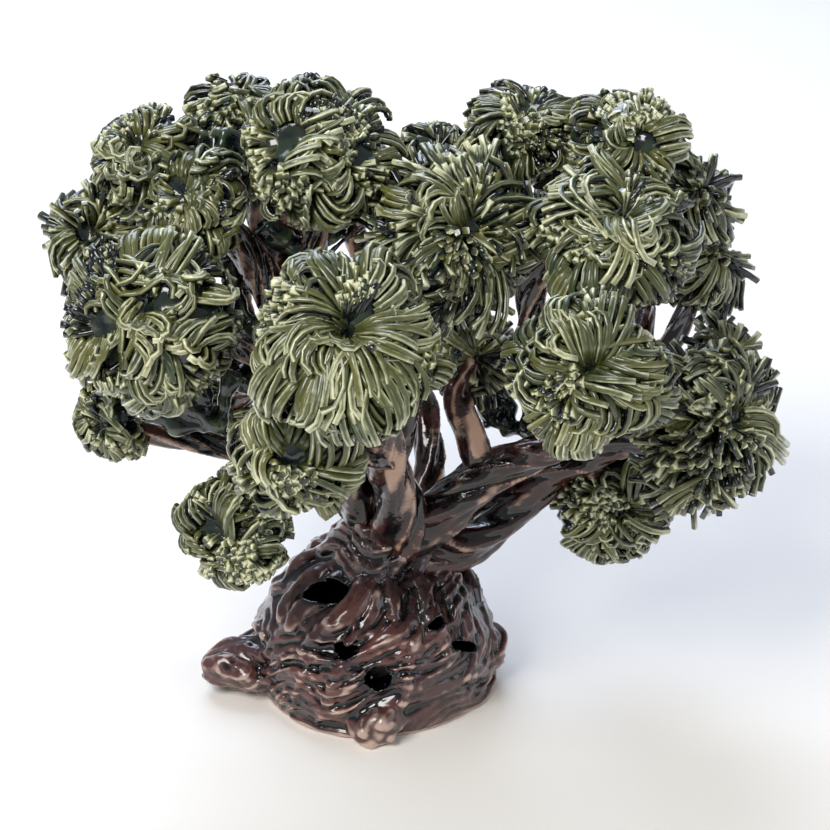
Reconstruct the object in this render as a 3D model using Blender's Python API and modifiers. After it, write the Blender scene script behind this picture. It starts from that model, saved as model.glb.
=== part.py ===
"""Glazed clay tree, built as a potter assembles it from separate pieces of clay.

A hollow mound of roots carries a short trunk. Coils of clay are pressed on to the trunk as limbs and
on to the limbs as branches, and each branch ends inside a tuft, which is a bundle of clay strands opened
out like a flower. Every piece is its own solid. It takes the shape of what it is pressed on to, less the
thin film of slip between them.

Metres, +Z up. The origin is on the table, in the middle of the tree's width and depth. The routes of
the coils and the places of the tufts are heights above the top of the mound, so they rise with it.
"""

import math
from dataclasses import dataclass

import bmesh
import bpy
from mathutils import Matrix, Vector

MM = 0.001

SLIP_GAP = 0.3 * MM
FINEST_EDGE = 0.02 * MM

MOUND_CENTRE = (-13.0, 0.0)
MOUND_HEIGHT = 44.0
FOOT_RADIUS = 39.5
BELLY_RADIUS = 40.5
SHOULDER_RADIUS = 34.0
CROWN_RADIUS = 24.0
WALL = 6.0
MOUND_STEPS = 24

COIL_SCALE = 1.0
TUFT_SCALE = 1.0
COIL_SIDES_RESOLUTION = 2
RINGS_PER_SPAN = 2
TUFT_STEPS = 12
TUFT_LOBE_SWELL = 0.06

ROOT_GLAZE = ((0.085, 0.032, 0.022), 0.22)
WOOD_GLAZE = ((0.060, 0.020, 0.015), 0.16)
LEAF_GLAZE = ((0.235, 0.270, 0.090), 0.18)


@dataclass(frozen=True)
class KnotHole:
    """A hole pushed through the wall of the mound: where it is, which way it faces, and its size."""

    bearing: float
    height: float
    lift: float
    width: float
    tall: float
    tilt: float


@dataclass(frozen=True)
class RootToe:
    """A lump of clay on the mound's flank: where it is, how far it stands out, and its radii."""

    name: str
    bearing: float
    height: float
    reach: float
    thick: float
    tip: float


@dataclass(frozen=True)
class Coil:
    """A tapered roll of clay: its radius at each end, and its route above the top of the mound."""

    name: str
    thick: float
    tip: float
    route: tuple


@dataclass(frozen=True)
class Tuft:
    """A bundle of strands opened out round its axis: place, bearing and lift of the axis, and size."""

    name: str
    at: tuple
    bearing: float
    lift: float
    radius: float
    depth: float
    lobes: int


KNOT_HOLES = (
    KnotHole(2.0, 21.0, 0.0, 10.0, 7.5, 0.0),
    KnotHole(-14.0, 29.0, 6.0, 7.0, 4.5, 0.0),
    KnotHole(50.0, 25.0, 0.0, 11.0, 3.6, -24.0),
    KnotHole(38.0, 33.5, 18.0, 8.0, 4.0, 16.0),
    KnotHole(-38.0, 39.5, 46.0, 15.0, 8.5, 30.0),
    KnotHole(150.0, 16.0, 0.0, 10.0, 6.0, 0.0),
    KnotHole(-136.0, 24.0, 0.0, 8.0, 5.0, 25.0),
)

ROOT_TOES = (
    RootToe("left_root_toe", -80.0, 9.0, 19.5, 11.0, 4.0),
    RootToe("front_root_toe", 2.0, 6.0, 7.0, 8.0, 6.0),
    RootToe("right_root_toe", 84.0, 16.0, 5.0, 8.0, 5.5),
    RootToe("rear_root_toe", 176.0, 8.0, 12.0, 10.0, 5.0),
)

TRUNK = Coil("trunk", 23.5, 14.5, ((-9.0, 0.0, -5.0), (-8.0, -1.0, 6.0), (-7.0, -2.0, 16.0)))

LIMBS = (
    Coil("right_upper_limb", 7.5, 4.6, (
        (-5.0, -3.0, 7.0), (10.0, -8.0, 22.0), (26.0, -8.0, 35.0), (41.0, -10.0, 45.0),
        (52.0, -20.0, 58.0), (51.0, -40.0, 75.0), (49.0, -56.0, 86.0))),
    Coil("right_lower_limb", 7.5, 4.6, (
        (-6.0, -1.0, 1.0), (17.0, 0.0, 6.0), (33.0, 2.0, 19.0), (48.0, 2.0, 32.0),
        (65.0, -4.0, 43.0), (84.0, -14.0, 52.0))),
    Coil("left_limb", 8.8, 4.6, (
        (-7.0, -1.0, 3.0), (-15.0, -2.0, 21.0), (-22.0, -4.0, 40.0), (-32.0, -4.0, 64.0),
        (-41.0, -4.0, 88.0), (-49.0, -6.0, 106.0), (-59.0, -8.0, 118.0))),
    Coil("front_limb", 7.2, 4.8, (
        (-6.0, -5.0, 6.0), (-5.0, -16.0, 29.0), (-9.0, -26.0, 51.0), (-15.0, -48.0, 77.0), (-19.0, -70.0, 99.0))),
    Coil("rear_limb", 6.0, 4.2, (
        (-5.0, 2.0, 6.0), (5.0, 14.0, 20.0), (3.0, 28.0, 36.0), (-7.0, 50.0, 58.0), (-22.0, 72.0, 90.0))),
    Coil("low_left_limb", 5.4, 3.8, (
        (-20.0, -4.0, 35.0), (-35.0, -15.0, 43.0), (-53.0, -20.0, 48.0), (-68.0, -20.0, 52.0), (-88.0, -18.0, 55.0))),
    Coil("low_centre_limb", 5.2, 3.8, (
        (22.0, -8.0, 32.0), (17.0, -5.0, 46.0), (13.0, 0.0, 56.0), (17.0, 9.0, 64.0))),
    Coil("upper_right_limb", 5.2, 3.8, (
        (43.0, -12.0, 47.0), (40.0, -1.0, 64.0), (35.0, 2.0, 82.0), (37.0, 0.0, 101.0),
        (45.0, -8.0, 112.0), (55.0, -20.0, 115.0))),
)

BRANCHES = (
    Coil("left_front_branch", 5.2, 3.8, ((-32.0, -4.0, 64.0), (-49.0, -22.0, 81.0), (-72.0, -36.0, 96.0))),
    Coil("crown_left_branch", 4.6, 3.6, ((-47.0, -5.0, 102.0), (-60.0, 5.0, 114.0), (-77.0, 10.0, 128.0))),
    Coil("left_edge_branch", 3.8, 3.0, ((-62.0, 6.0, 116.0), (-80.0, 8.0, 110.0), (-92.0, 8.0, 106.0))),
    Coil("rear_crown_branch", 4.2, 3.2, ((-42.0, -4.0, 91.0), (-49.0, 20.0, 112.0), (-55.0, 37.0, 134.0))),
    Coil("crown_centre_branch", 5.0, 3.8, ((-34.0, -4.0, 70.0), (-30.0, -3.0, 104.0), (-28.0, -5.0, 132.0))),
    Coil("rear_left_branch", 4.6, 3.4, ((-27.0, -4.0, 52.0), (-44.0, 24.0, 52.0), (-60.0, 42.0, 34.0))),
    Coil("far_left_branch", 4.2, 3.4, ((-42.0, 22.0, 52.5), (-60.0, 44.0, 66.0), (-76.0, 60.0, 78.0))),
    Coil("low_left_branch", 4.2, 3.4, ((-38.0, -16.0, 44.0), (-43.0, -31.0, 37.0), (-50.0, -41.0, 32.0))),
    Coil("low_front_branch", 4.6, 3.6, ((-8.0, -25.0, 48.0), (-22.0, -48.0, 60.0), (-33.0, -68.0, 67.0))),
    Coil("centre_branch", 4.8, 3.8, ((-8.0, -22.0, 42.0), (3.0, -16.0, 78.0), (10.0, -15.0, 110.0))),
    Coil("rear_centre_branch", 4.2, 3.2, ((1.0, 32.0, 40.0), (5.0, 48.0, 80.0), (7.0, 61.0, 111.0))),
    Coil("low_right_branch", 4.4, 3.4, ((52.0, 0.0, 35.0), (60.0, 5.0, 26.0), (64.0, 8.0, 17.0))),
    Coil("right_edge_branch", 3.8, 3.0, ((74.0, -9.0, 47.5), (87.0, 1.0, 59.0), (95.0, 6.0, 69.0))),
    Coil("rear_right_branch", 4.6, 3.4, ((60.0, -2.0, 40.0), (80.0, 26.0, 60.0), (93.0, 46.0, 82.0))),
    Coil("rear_far_branch", 4.2, 3.4, ((68.0, 10.0, 47.5), (74.0, 42.0, 66.0), (76.0, 68.0, 92.0))),
    Coil("crown_mid_branch", 4.4, 3.4, ((36.5, 1.0, 92.0), (32.0, 13.0, 112.0), (33.0, 24.0, 129.0))),
    Coil("crown_right_branch", 4.4, 3.4, ((41.0, -4.0, 107.0), (56.0, 2.0, 122.0), (65.0, 5.0, 134.0))),
    Coil("crown_edge_branch", 3.8, 3.0, ((51.0, 0.0, 117.5), (73.0, 17.0, 115.0), (89.0, 30.0, 112.0))),
)

TUFTS = (
    Tuft("front_left_tuft", (-20.0, -73.0, 105.0), 2.0, 34.0, 29.0, 20.0, 5),
    Tuft("front_right_tuft", (48.0, -60.0, 90.0), -4.0, 30.0, 26.5, 19.0, 4),
    Tuft("left_front_tuft", (-76.0, -38.0, 98.0), -16.0, 28.0, 28.0, 22.0, 5),
    Tuft("right_upper_tuft", (58.0, -25.0, 116.0), 6.0, 48.0, 27.5, 19.0, 5),
    Tuft("crown_centre_tuft", (-28.0, -5.0, 134.5), 24.0, 46.0, 26.0, 21.0, 6),
    Tuft("centre_tuft", (11.0, -15.0, 114.0), 34.0, 30.0, 25.0, 21.0, 5),
    Tuft("right_middle_tuft", (86.0, -18.0, 54.0), 58.0, 12.0, 23.5, 24.5, 5),
    Tuft("crown_right_tuft", (63.0, 5.0, 136.0), 6.0, 58.0, 20.0, 16.0, 4),
    Tuft("crown_left_tuft", (-81.0, 10.0, 130.0), -40.0, 48.0, 20.0, 16.0, 4),
    Tuft("inner_left_tuft", (-64.0, -9.0, 122.0), -20.0, 42.0, 19.0, 16.0, 4),
    Tuft("crown_mid_tuft", (34.0, 25.0, 132.0), -8.0, 56.0, 20.0, 16.0, 5),
    Tuft("low_front_tuft", (-34.0, -70.0, 68.0), -12.0, -10.0, 20.0, 15.0, 4),
    Tuft("low_left_tuft", (-52.0, -42.0, 31.0), -20.0, 10.0, 19.5, 16.0, 5),
    Tuft("low_right_tuft", (64.0, 8.0, 16.0), 10.0, 0.0, 20.0, 15.0, 5),
    Tuft("far_left_tuft", (-80.0, 62.0, 78.0), -128.0, 24.0, 21.0, 17.0, 5),
    Tuft("rear_tuft", (-28.0, 76.0, 102.0), 180.0, 32.0, 23.0, 17.0, 5),
    Tuft("rear_right_tuft", (76.0, 70.0, 96.0), 150.0, 30.0, 20.0, 16.0, 4),
    Tuft("right_edge_tuft", (92.0, 48.0, 85.0), 62.0, 16.0, 16.0, 14.0, 4),
    Tuft("crown_edge_tuft", (87.0, 30.0, 111.0), 60.0, 34.0, 14.5, 12.0, 4),
    Tuft("rear_crown_tuft", (-56.0, 38.0, 137.0), -10.0, 74.0, 18.0, 11.0, 4),
    Tuft("rear_centre_tuft", (7.0, 62.0, 114.0), 30.0, 58.0, 15.0, 12.0, 4),
    Tuft("left_edge_tuft", (-96.0, 8.0, 105.5), -78.0, 10.0, 14.5, 17.0, 4),
    Tuft("left_low_tuft", (-91.0, -18.0, 57.0), -40.0, -12.0, 15.0, 13.0, 4),
    Tuft("low_centre_tuft", (18.0, 12.0, 65.0), 14.0, 4.0, 14.5, 12.0, 4),
    Tuft("rear_left_tuft", (-64.0, 44.0, 30.0), -30.0, 6.0, 15.0, 12.0, 4),
    Tuft("right_spray_tuft", (95.0, 5.0, 68.0), 36.0, 46.0, 12.5, 11.5, 4),
)


def glaze(name, finish):
    """A Principled material of one colour and roughness."""
    colour, roughness = finish
    material = bpy.data.materials.new(name)
    material.use_nodes = True
    shader = material.node_tree.nodes["Principled BSDF"]
    shader.inputs["Base Color"].default_value = (*colour, 1.0)
    shader.inputs["Roughness"].default_value = roughness
    shader.inputs["Metallic"].default_value = 0.0
    return material


def collection(name):
    """A new collection under the scene's own."""
    made = bpy.data.collections.new(name)
    bpy.context.scene.collection.children.link(made)
    return made


def compass(bearing):
    """The level direction at a bearing: 0 is the front, 90 the right."""
    angle = math.radians(bearing)
    return Vector((math.sin(angle), -math.cos(angle), 0.0))


def direction(bearing, lift):
    """The direction at a bearing, lifted above the level."""
    rise = math.radians(lift)
    return compass(bearing) * math.cos(rise) + Vector((0.0, 0.0, math.sin(rise)))


def turn_to(axis, tilt=0.0):
    """The rotation that lays an upright piece along an axis, after a turn about itself."""
    return (axis.to_track_quat("Z", "Y").to_matrix() @ Matrix.Rotation(math.radians(tilt), 3, "Z")).to_euler()


def above_mound(point):
    """A place given in millimetres above the top of the mound, in metres above the table."""
    x, y, z = point
    return Vector((x, y, z + MOUND_HEIGHT)) * MM


def put(name, mesh, place, rotation, group):
    """A mesh object at a place, turned."""
    obj = bpy.data.objects.new(name, mesh)
    obj.location = place
    obj.rotation_euler = rotation
    group.objects.link(obj)
    bpy.context.view_layer.update()
    return obj


def shaped_mesh(obj):
    """A new mesh of the object with its modifiers or its bevel applied."""
    bpy.context.view_layer.update()
    graph = bpy.context.evaluated_depsgraph_get()
    return bpy.data.meshes.new_from_object(obj.evaluated_get(graph))


def apply_modifiers(obj):
    """Makes a mesh object's modifiers part of its mesh."""
    mesh = shaped_mesh(obj)
    obj.modifiers.clear()
    obj.data = mesh


def weld(mesh):
    """Joins the points that lie on one another, and turns the faces outwards."""
    work = bmesh.new()
    work.from_mesh(mesh)
    bmesh.ops.remove_doubles(work, verts=work.verts, dist=FINEST_EDGE)
    bmesh.ops.recalc_face_normals(work, faces=work.faces)
    work.to_mesh(mesh)
    work.free()


def split_faces(mesh):
    """Splits the faces into triangles, so that a piece and its cutter share every edge."""
    work = bmesh.new()
    work.from_mesh(mesh)
    bmesh.ops.triangulate(work, faces=work.faces)
    work.to_mesh(mesh)
    work.free()


def bodies_of(work):
    """The separate bodies of a bmesh, each as a set of its vertices, the largest first."""
    left = set(work.verts)
    found = []
    while left:
        start = left.pop()
        body = {start}
        reached = [start]
        while reached:
            vert = reached.pop()
            near = {edge.other_vert(vert) for edge in vert.link_edges} - body
            body |= near
            left -= near
            reached.extend(near)
        found.append(body)
    return sorted(found, key=span_of, reverse=True)


def span_of(body):
    """The diagonal of a body's box."""
    extents = [
        max(vert.co[axis] for vert in body) - min(vert.co[axis] for vert in body) for axis in range(3)
    ]
    return Vector(extents).length


def trim(mesh):
    """Drops the crumbs that a cut leaves beyond the piece, and the points too close to be two."""
    work = bmesh.new()
    work.from_mesh(mesh)
    crumbs = [vert for body in bodies_of(work)[1:] for vert in body]
    bmesh.ops.delete(work, geom=crumbs, context="VERTS")
    bmesh.ops.remove_doubles(work, verts=work.verts, dist=FINEST_EDGE)
    bmesh.ops.dissolve_degenerate(work, dist=0.1 * FINEST_EDGE, edges=work.edges)
    work.to_mesh(mesh)
    work.free()


def grown(obj, by, group):
    """A closed cutter: a copy of the object, grown outwards by a clearance."""
    work = bmesh.new()
    work.from_mesh(obj.data)
    work.normal_update()
    places = [vert.co + vert.normal * vert.calc_shell_factor() * by for vert in work.verts]
    for vert, place in zip(work.verts, places):
        vert.co = place
    mesh = bpy.data.meshes.new(obj.name + "_cutter")
    work.to_mesh(mesh)
    work.free()
    return as_cutter(put(mesh.name, mesh, obj.location, obj.rotation_euler, group))


def as_cutter(obj):
    """Marks an object as a cutter."""
    obj.hide_render = True
    obj.display_type = "WIRE"
    return obj


def cut(obj, cutter):
    """A Boolean difference that leaves one body."""
    modifier = obj.modifiers.new(cutter.name, "BOOLEAN")
    modifier.operation = "DIFFERENCE"
    modifier.solver = "EXACT"
    modifier.use_self = True
    modifier.object = cutter
    apply_modifiers(obj)
    trim(obj.data)


def box_of(obj):
    """The lowest and highest corners of an object."""
    places = [obj.matrix_world @ vert.co for vert in obj.data.vertices]
    low = Vector([min(place[axis] for place in places) for axis in range(3)])
    high = Vector([max(place[axis] for place in places) for axis in range(3)])
    return low, high


def boxes_meet(first, second):
    """Whether two objects' boxes share any space."""
    low_a, high_a = box_of(first)
    low_b, high_b = box_of(second)
    return all(low_a[axis] < high_b[axis] and low_b[axis] < high_a[axis] for axis in range(3))


def turned(name, profile, steps):
    """A closed mesh: a profile of radius and height in millimetres, turned about the upright axis."""
    mesh = bpy.data.meshes.new(name)
    points = [(radius * MM, 0.0, height * MM) for radius, height in profile]
    mesh.from_pydata(points, [(index, index + 1) for index in range(len(points) - 1)], [])
    blank = put(name + "_blank", mesh, (0.0, 0.0, 0.0), (0.0, 0.0, 0.0), bpy.context.scene.collection)
    screw = blank.modifiers.new("turn", "SCREW")
    screw.axis = "Z"
    screw.steps = screw.render_steps = steps
    screw.use_merge_vertices = True
    screw.merge_threshold = FINEST_EDGE
    screw.use_normal_calculate = True
    shaped = shaped_mesh(blank)
    bpy.data.objects.remove(blank)
    weld(shaped)
    shaped.name = name
    return shaped


def mound_outside():
    """The mound's outside, from the middle of its top down to the foot, as radius and height."""
    return [
        (0.0, MOUND_HEIGHT),
        (CROWN_RADIUS, 0.96 * MOUND_HEIGHT),
        (SHOULDER_RADIUS, 0.74 * MOUND_HEIGHT),
        (BELLY_RADIUS, 0.28 * MOUND_HEIGHT),
        (FOOT_RADIUS, 0.07 * MOUND_HEIGHT),
        (FOOT_RADIUS - 1.0, 0.0),
    ]


def mound_radius(height):
    """The radius of the mound's outside at a height."""
    outline = mound_outside()
    for (upper_radius, upper), (lower_radius, lower) in zip(outline, outline[1:]):
        if lower <= height <= upper:
            share = (height - lower) / (upper - lower)
            return lower_radius + (upper_radius - lower_radius) * share
    return outline[-1][0]


def build_mound(group, cutters):
    """The hollow mound: a thick wall under a domed top, open below, with knot holes through it."""
    outside = mound_outside()
    inside = [(max(radius - WALL, 0.0), height - WALL) for radius, height in outside[:-2]]
    profile = outside + [(FOOT_RADIUS - WALL, 0.0)] + inside[::-1]
    centre = Vector((*MOUND_CENTRE, 0.0)) * MM
    mound = put("root_mound", turned("root_mound", profile, MOUND_STEPS), centre, (0.0, 0.0, 0.0), group)
    for number, knot in enumerate(KNOT_HOLES):
        work = bmesh.new()
        bmesh.ops.create_cone(
            work, cap_ends=True, segments=10, radius1=knot.width * 0.5 * MM,
            radius2=knot.width * 0.5 * MM, depth=3.6 * WALL * MM)
        bmesh.ops.scale(work, vec=(1.0, knot.tall / knot.width, 1.0), verts=work.verts)
        name = "knot_cutter_%d" % number
        mesh = bpy.data.meshes.new(name)
        work.to_mesh(mesh)
        work.free()
        out = compass(knot.bearing) * (mound_radius(knot.height) - WALL / 2.0) * MM
        place = centre + out + Vector((0.0, 0.0, knot.height * MM))
        facing = turn_to(direction(knot.bearing, knot.lift), knot.tilt)
        cut(mound, as_cutter(put(name, mesh, place, facing, cutters)))
    return mound


def smooth_route(points):
    """A smooth route through points: a Catmull-Rom curve, with a few steps between neighbours."""
    ends = [points[0] * 2.0 - points[1], *points, points[-1] * 2.0 - points[-2]]
    route = []
    for before, start, finish, after in zip(ends, ends[1:], ends[2:], ends[3:]):
        for step in range(RINGS_PER_SPAN):
            t = step / RINGS_PER_SPAN
            route.append(0.5 * (
                start * 2.0 + (finish - before) * t
                + (before * 2.0 - start * 5.0 + finish * 4.0 - after) * t * t
                + (start * 3.0 - before - finish * 3.0 + after) * t * t * t))
    return route + [points[-1]]


def rolled(name, points, thick, tip, group):
    """A tapered roll through points given in metres, closed at both ends with its tip rounded."""
    route = smooth_route(points)
    start = route[0].copy()
    curve = bpy.data.curves.new(name, "CURVE")
    curve.dimensions = "3D"
    curve.bevel_depth = 1.0 * MM
    curve.bevel_resolution = COIL_SIDES_RESOLUTION
    curve.use_fill_caps = True
    spline = curve.splines.new("POLY")
    spline.points.add(len(route) - 1)
    last = len(route) - 1
    for index, (point, place) in enumerate(zip(spline.points, route)):
        share = index / last
        point.co = (*(place - start), 1.0)
        point.radius = (thick + (tip - thick) * share) * COIL_SCALE * (0.72 if index == last else 1.0)
    roll = bpy.data.objects.new(name + "_roll", curve)
    bpy.context.scene.collection.objects.link(roll)
    mesh = shaped_mesh(roll)
    bpy.data.objects.remove(roll)
    weld(mesh)
    split_faces(mesh)
    mesh.name = name
    return put(name, mesh, start, (0.0, 0.0, 0.0), group)


def build_coil(coil, group):
    """A limb, a branch or the trunk."""
    return rolled(coil.name, [above_mound(point) for point in coil.route], coil.thick, coil.tip, group)


def build_toe(toe, group):
    """A root toe: a short roll that starts in the mound's wall and stands out from it."""
    centre = Vector((*MOUND_CENTRE, 0.0)) * MM
    level = Vector((0.0, 0.0, toe.height * MM))
    rooted = (mound_radius(toe.height) - WALL / 2.0) * MM
    out = compass(toe.bearing)
    reach = (toe.reach + WALL / 2.0) * MM
    drop = Vector((0.0, 0.0, -0.25 * toe.height * MM))
    points = [centre + level + out * rooted, centre + level + out * (rooted + 0.55 * reach),
              centre + level + drop + out * (rooted + reach)]
    return rolled(toe.name, points, toe.thick / COIL_SCALE, toe.tip / COIL_SCALE, group)


def build_tuft(tuft, group):
    """A tuft: a lobed cushion of strands with a dimple where they part."""
    shares = (
        (0.0, 0.38), (0.26, 0.66), (0.62, 0.72), (0.93, 0.34), (1.0, -0.06), (0.8, -0.52), (0.42, -0.86),
        (0.0, -1.0))
    profile = [(radius * tuft.radius * TUFT_SCALE, height * tuft.depth * TUFT_SCALE) for radius, height in shares]
    mesh = turned(tuft.name, profile, TUFT_STEPS)
    for vert in mesh.vertices:
        around = math.atan2(vert.co.y, vert.co.x)
        swell = 1.0 + TUFT_LOBE_SWELL * math.sin(tuft.lobes * around + tuft.bearing)
        vert.co.x *= swell
        vert.co.y *= swell
        vert.co.z *= 1.0 + TUFT_LOBE_SWELL * math.cos(tuft.lobes * around)
    split_faces(mesh)
    return put(tuft.name, mesh, above_mound(tuft.at), turn_to(direction(tuft.bearing, tuft.lift)), group)


def table_cutter(cutters):
    """A slab just above the table's own level, which keeps the toes off the table."""
    work = bmesh.new()
    bmesh.ops.create_cube(work, size=1.0)
    mesh = bpy.data.meshes.new("table_cutter")
    work.to_mesh(mesh)
    work.free()
    slab = put("table_cutter", mesh, (0.0, 0.0, SLIP_GAP - 0.02), (0.0, 0.0, 0.0), cutters)
    slab.scale = (0.4, 0.4, 0.04)
    bpy.context.view_layer.update()
    return as_cutter(slab)


def main():
    """Builds the tree."""
    for obj in list(bpy.data.objects):
        bpy.data.objects.remove(obj)
    parts = collection("clay_tree")
    cutters = collection("clay_tree_cutters")

    mound = build_mound(parts, cutters)
    core = put("mound_core", turned("mound_core", mound_outside() + [(0.0, 0.0)], MOUND_STEPS),
               mound.location, (0.0, 0.0, 0.0), cutters)
    placed = [grown(as_cutter(core), SLIP_GAP, cutters)]
    table = table_cutter(cutters)
    finishes = {mound.name: ROOT_GLAZE}

    def set_down(piece, finish):
        """Presses a piece on to those already there, and lets later pieces press on to it."""
        own_cutter = grown(piece, SLIP_GAP, cutters)
        for cutter in placed:
            if boxes_meet(piece, cutter):
                cut(piece, cutter)
        placed.append(own_cutter)
        finishes[piece.name] = finish

    for toe in ROOT_TOES:
        lump = build_toe(toe, parts)
        cut(lump, table)
        set_down(lump, ROOT_GLAZE)
    for coil in (TRUNK, *LIMBS, *BRANCHES):
        set_down(build_coil(coil, parts), WOOD_GLAZE)
    for tuft in TUFTS:
        set_down(build_tuft(tuft, parts), LEAF_GLAZE)

    for piece in parts.objects:
        weld(piece.data)
        piece.data.materials.clear()
        piece.data.materials.append(glaze(piece.name + "_glaze", finishes[piece.name]))
    cutters.hide_render = True


main()
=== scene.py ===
"""A glazed clay tree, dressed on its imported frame.

The tree is made as its potter makes it. A hollow mound of twisted roots carries a short trunk, rolls of
clay bend out of it as limbs, and every branch ends in a tuft of strands that were pushed through a sieve.
Brown glaze breaks to tan on the wood's ridges, and green glaze breaks to cream on the strands and pools
nearly black between them.
"""

import logging
import math
from dataclasses import dataclass
from enum import Enum
from typing import ClassVar

import bmesh
import bpy
import numpy as np
from mathutils import Matrix, Vector


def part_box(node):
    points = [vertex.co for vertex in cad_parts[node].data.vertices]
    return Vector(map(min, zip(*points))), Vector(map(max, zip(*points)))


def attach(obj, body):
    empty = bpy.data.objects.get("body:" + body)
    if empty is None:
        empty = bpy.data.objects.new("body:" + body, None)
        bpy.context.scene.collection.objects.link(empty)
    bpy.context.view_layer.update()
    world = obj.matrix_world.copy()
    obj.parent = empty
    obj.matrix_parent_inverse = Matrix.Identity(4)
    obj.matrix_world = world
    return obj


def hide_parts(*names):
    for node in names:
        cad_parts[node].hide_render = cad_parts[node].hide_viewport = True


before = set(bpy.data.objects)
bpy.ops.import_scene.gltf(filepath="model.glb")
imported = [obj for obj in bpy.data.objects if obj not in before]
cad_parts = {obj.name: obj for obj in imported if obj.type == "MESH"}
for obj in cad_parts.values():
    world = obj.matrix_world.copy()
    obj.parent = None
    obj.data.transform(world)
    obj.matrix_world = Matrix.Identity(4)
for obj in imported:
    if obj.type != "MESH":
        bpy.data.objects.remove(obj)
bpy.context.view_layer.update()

MM = 0.001
MOUND_TOP = 44.0
LOG = logging.getLogger("clay_tree")

Point = tuple[float, float, float]
Colour = tuple[float, float, float]
Route = tuple[Point, ...]
KnotPlace = tuple[np.ndarray, np.ndarray, np.ndarray]


class GlazeSlot(Enum):
    """The record's finishes, by the name of each one's slot."""

    ROOT = "root_glaze"
    WOOD = "wood_glaze"
    LEAF = "leaf_glaze"


class Habit(Enum):
    """How the strands of a tuft stand."""

    COMBED = "laid down over the cushion"
    SHAGGY = "long, loose and curling"
    SPRAY = "long and splayed, standing clear of the cushion"


def unit(vectors: np.ndarray) -> np.ndarray:
    """Scales vectors to a length of one.

    Args:
        vectors: An array whose last axis holds x, y and z.

    Returns:
        The same array with each vector of unit length.
    """
    return vectors / np.maximum(np.linalg.norm(vectors, axis=-1, keepdims=True), 1e-12)


def dot(first: np.ndarray, second: np.ndarray) -> np.ndarray:
    """The dot product along the last axis, which is kept."""
    return np.sum(first * second, axis=-1, keepdims=True)


def smoothstep(low: float, high: float, value: np.ndarray) -> np.ndarray:
    """A smooth rise from 0 to 1 as a value goes from low to high."""
    share = np.clip((value - low) / (high - low), 0.0, 1.0)
    return share * share * (3.0 - 2.0 * share)


@dataclass(frozen=True)
class Grain:
    """Smooth, repeatable unevenness: a few waves in chance directions, added together.

    Attributes:
        seed: Picks the waves.
        pitch: The distance over which the unevenness changes, in the units of the points.
        waves: How many waves are added.
    """

    seed: int
    pitch: float
    waves: int = 14

    def at(self, points: np.ndarray) -> np.ndarray:
        """Reads the unevenness at points.

        Args:
            points: An array whose last axis holds x, y and z.

        Returns:
            Values of about -1 to 1, without that last axis.
        """
        chance = np.random.default_rng(self.seed)
        ways = unit(chance.normal(size=(self.waves, 3)))
        ways = ways * (chance.uniform(0.55, 1.7, size=(self.waves, 1)) * 2.0 * math.pi / self.pitch / 1.6)
        phases = chance.uniform(0.0, 2.0 * math.pi, size=self.waves)
        total = np.zeros(points.shape[:-1])
        for way, phase in zip(ways, phases):
            total += np.sin(points @ way + phase)
        return total / math.sqrt(self.waves * 0.5) / 1.6


def direction(bearing: float, lift: float) -> Vector:
    """The way that a thing faces.

    Args:
        bearing: Degrees round from the front, towards the right.
        lift: Degrees above the level.

    Returns:
        The unit vector.
    """
    turn, rise = math.radians(bearing), math.radians(lift)
    return Vector((math.sin(turn) * math.cos(rise), -math.cos(turn) * math.cos(rise), math.sin(rise)))


def frame_of(axis: Vector) -> np.ndarray:
    """A rotation whose third column is an axis and whose second column leans upwards.

    Args:
        axis: The unit vector for the third column.

    Returns:
        A 3 by 3 array that takes a tuft's own directions to the tree's.
    """
    side = Vector((0.0, 0.0, 1.0)).cross(axis)
    if side.length < 0.05:
        side = Vector((1.0, 0.0, 0.0))
    side.normalize()
    up = axis.cross(side).normalized()
    return np.array([side, up, axis]).T


def middle_of(node: str) -> Vector:
    """The middle of a node's box."""
    low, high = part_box(node)
    return (Vector(low) + Vector(high)) / 2.0


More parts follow.
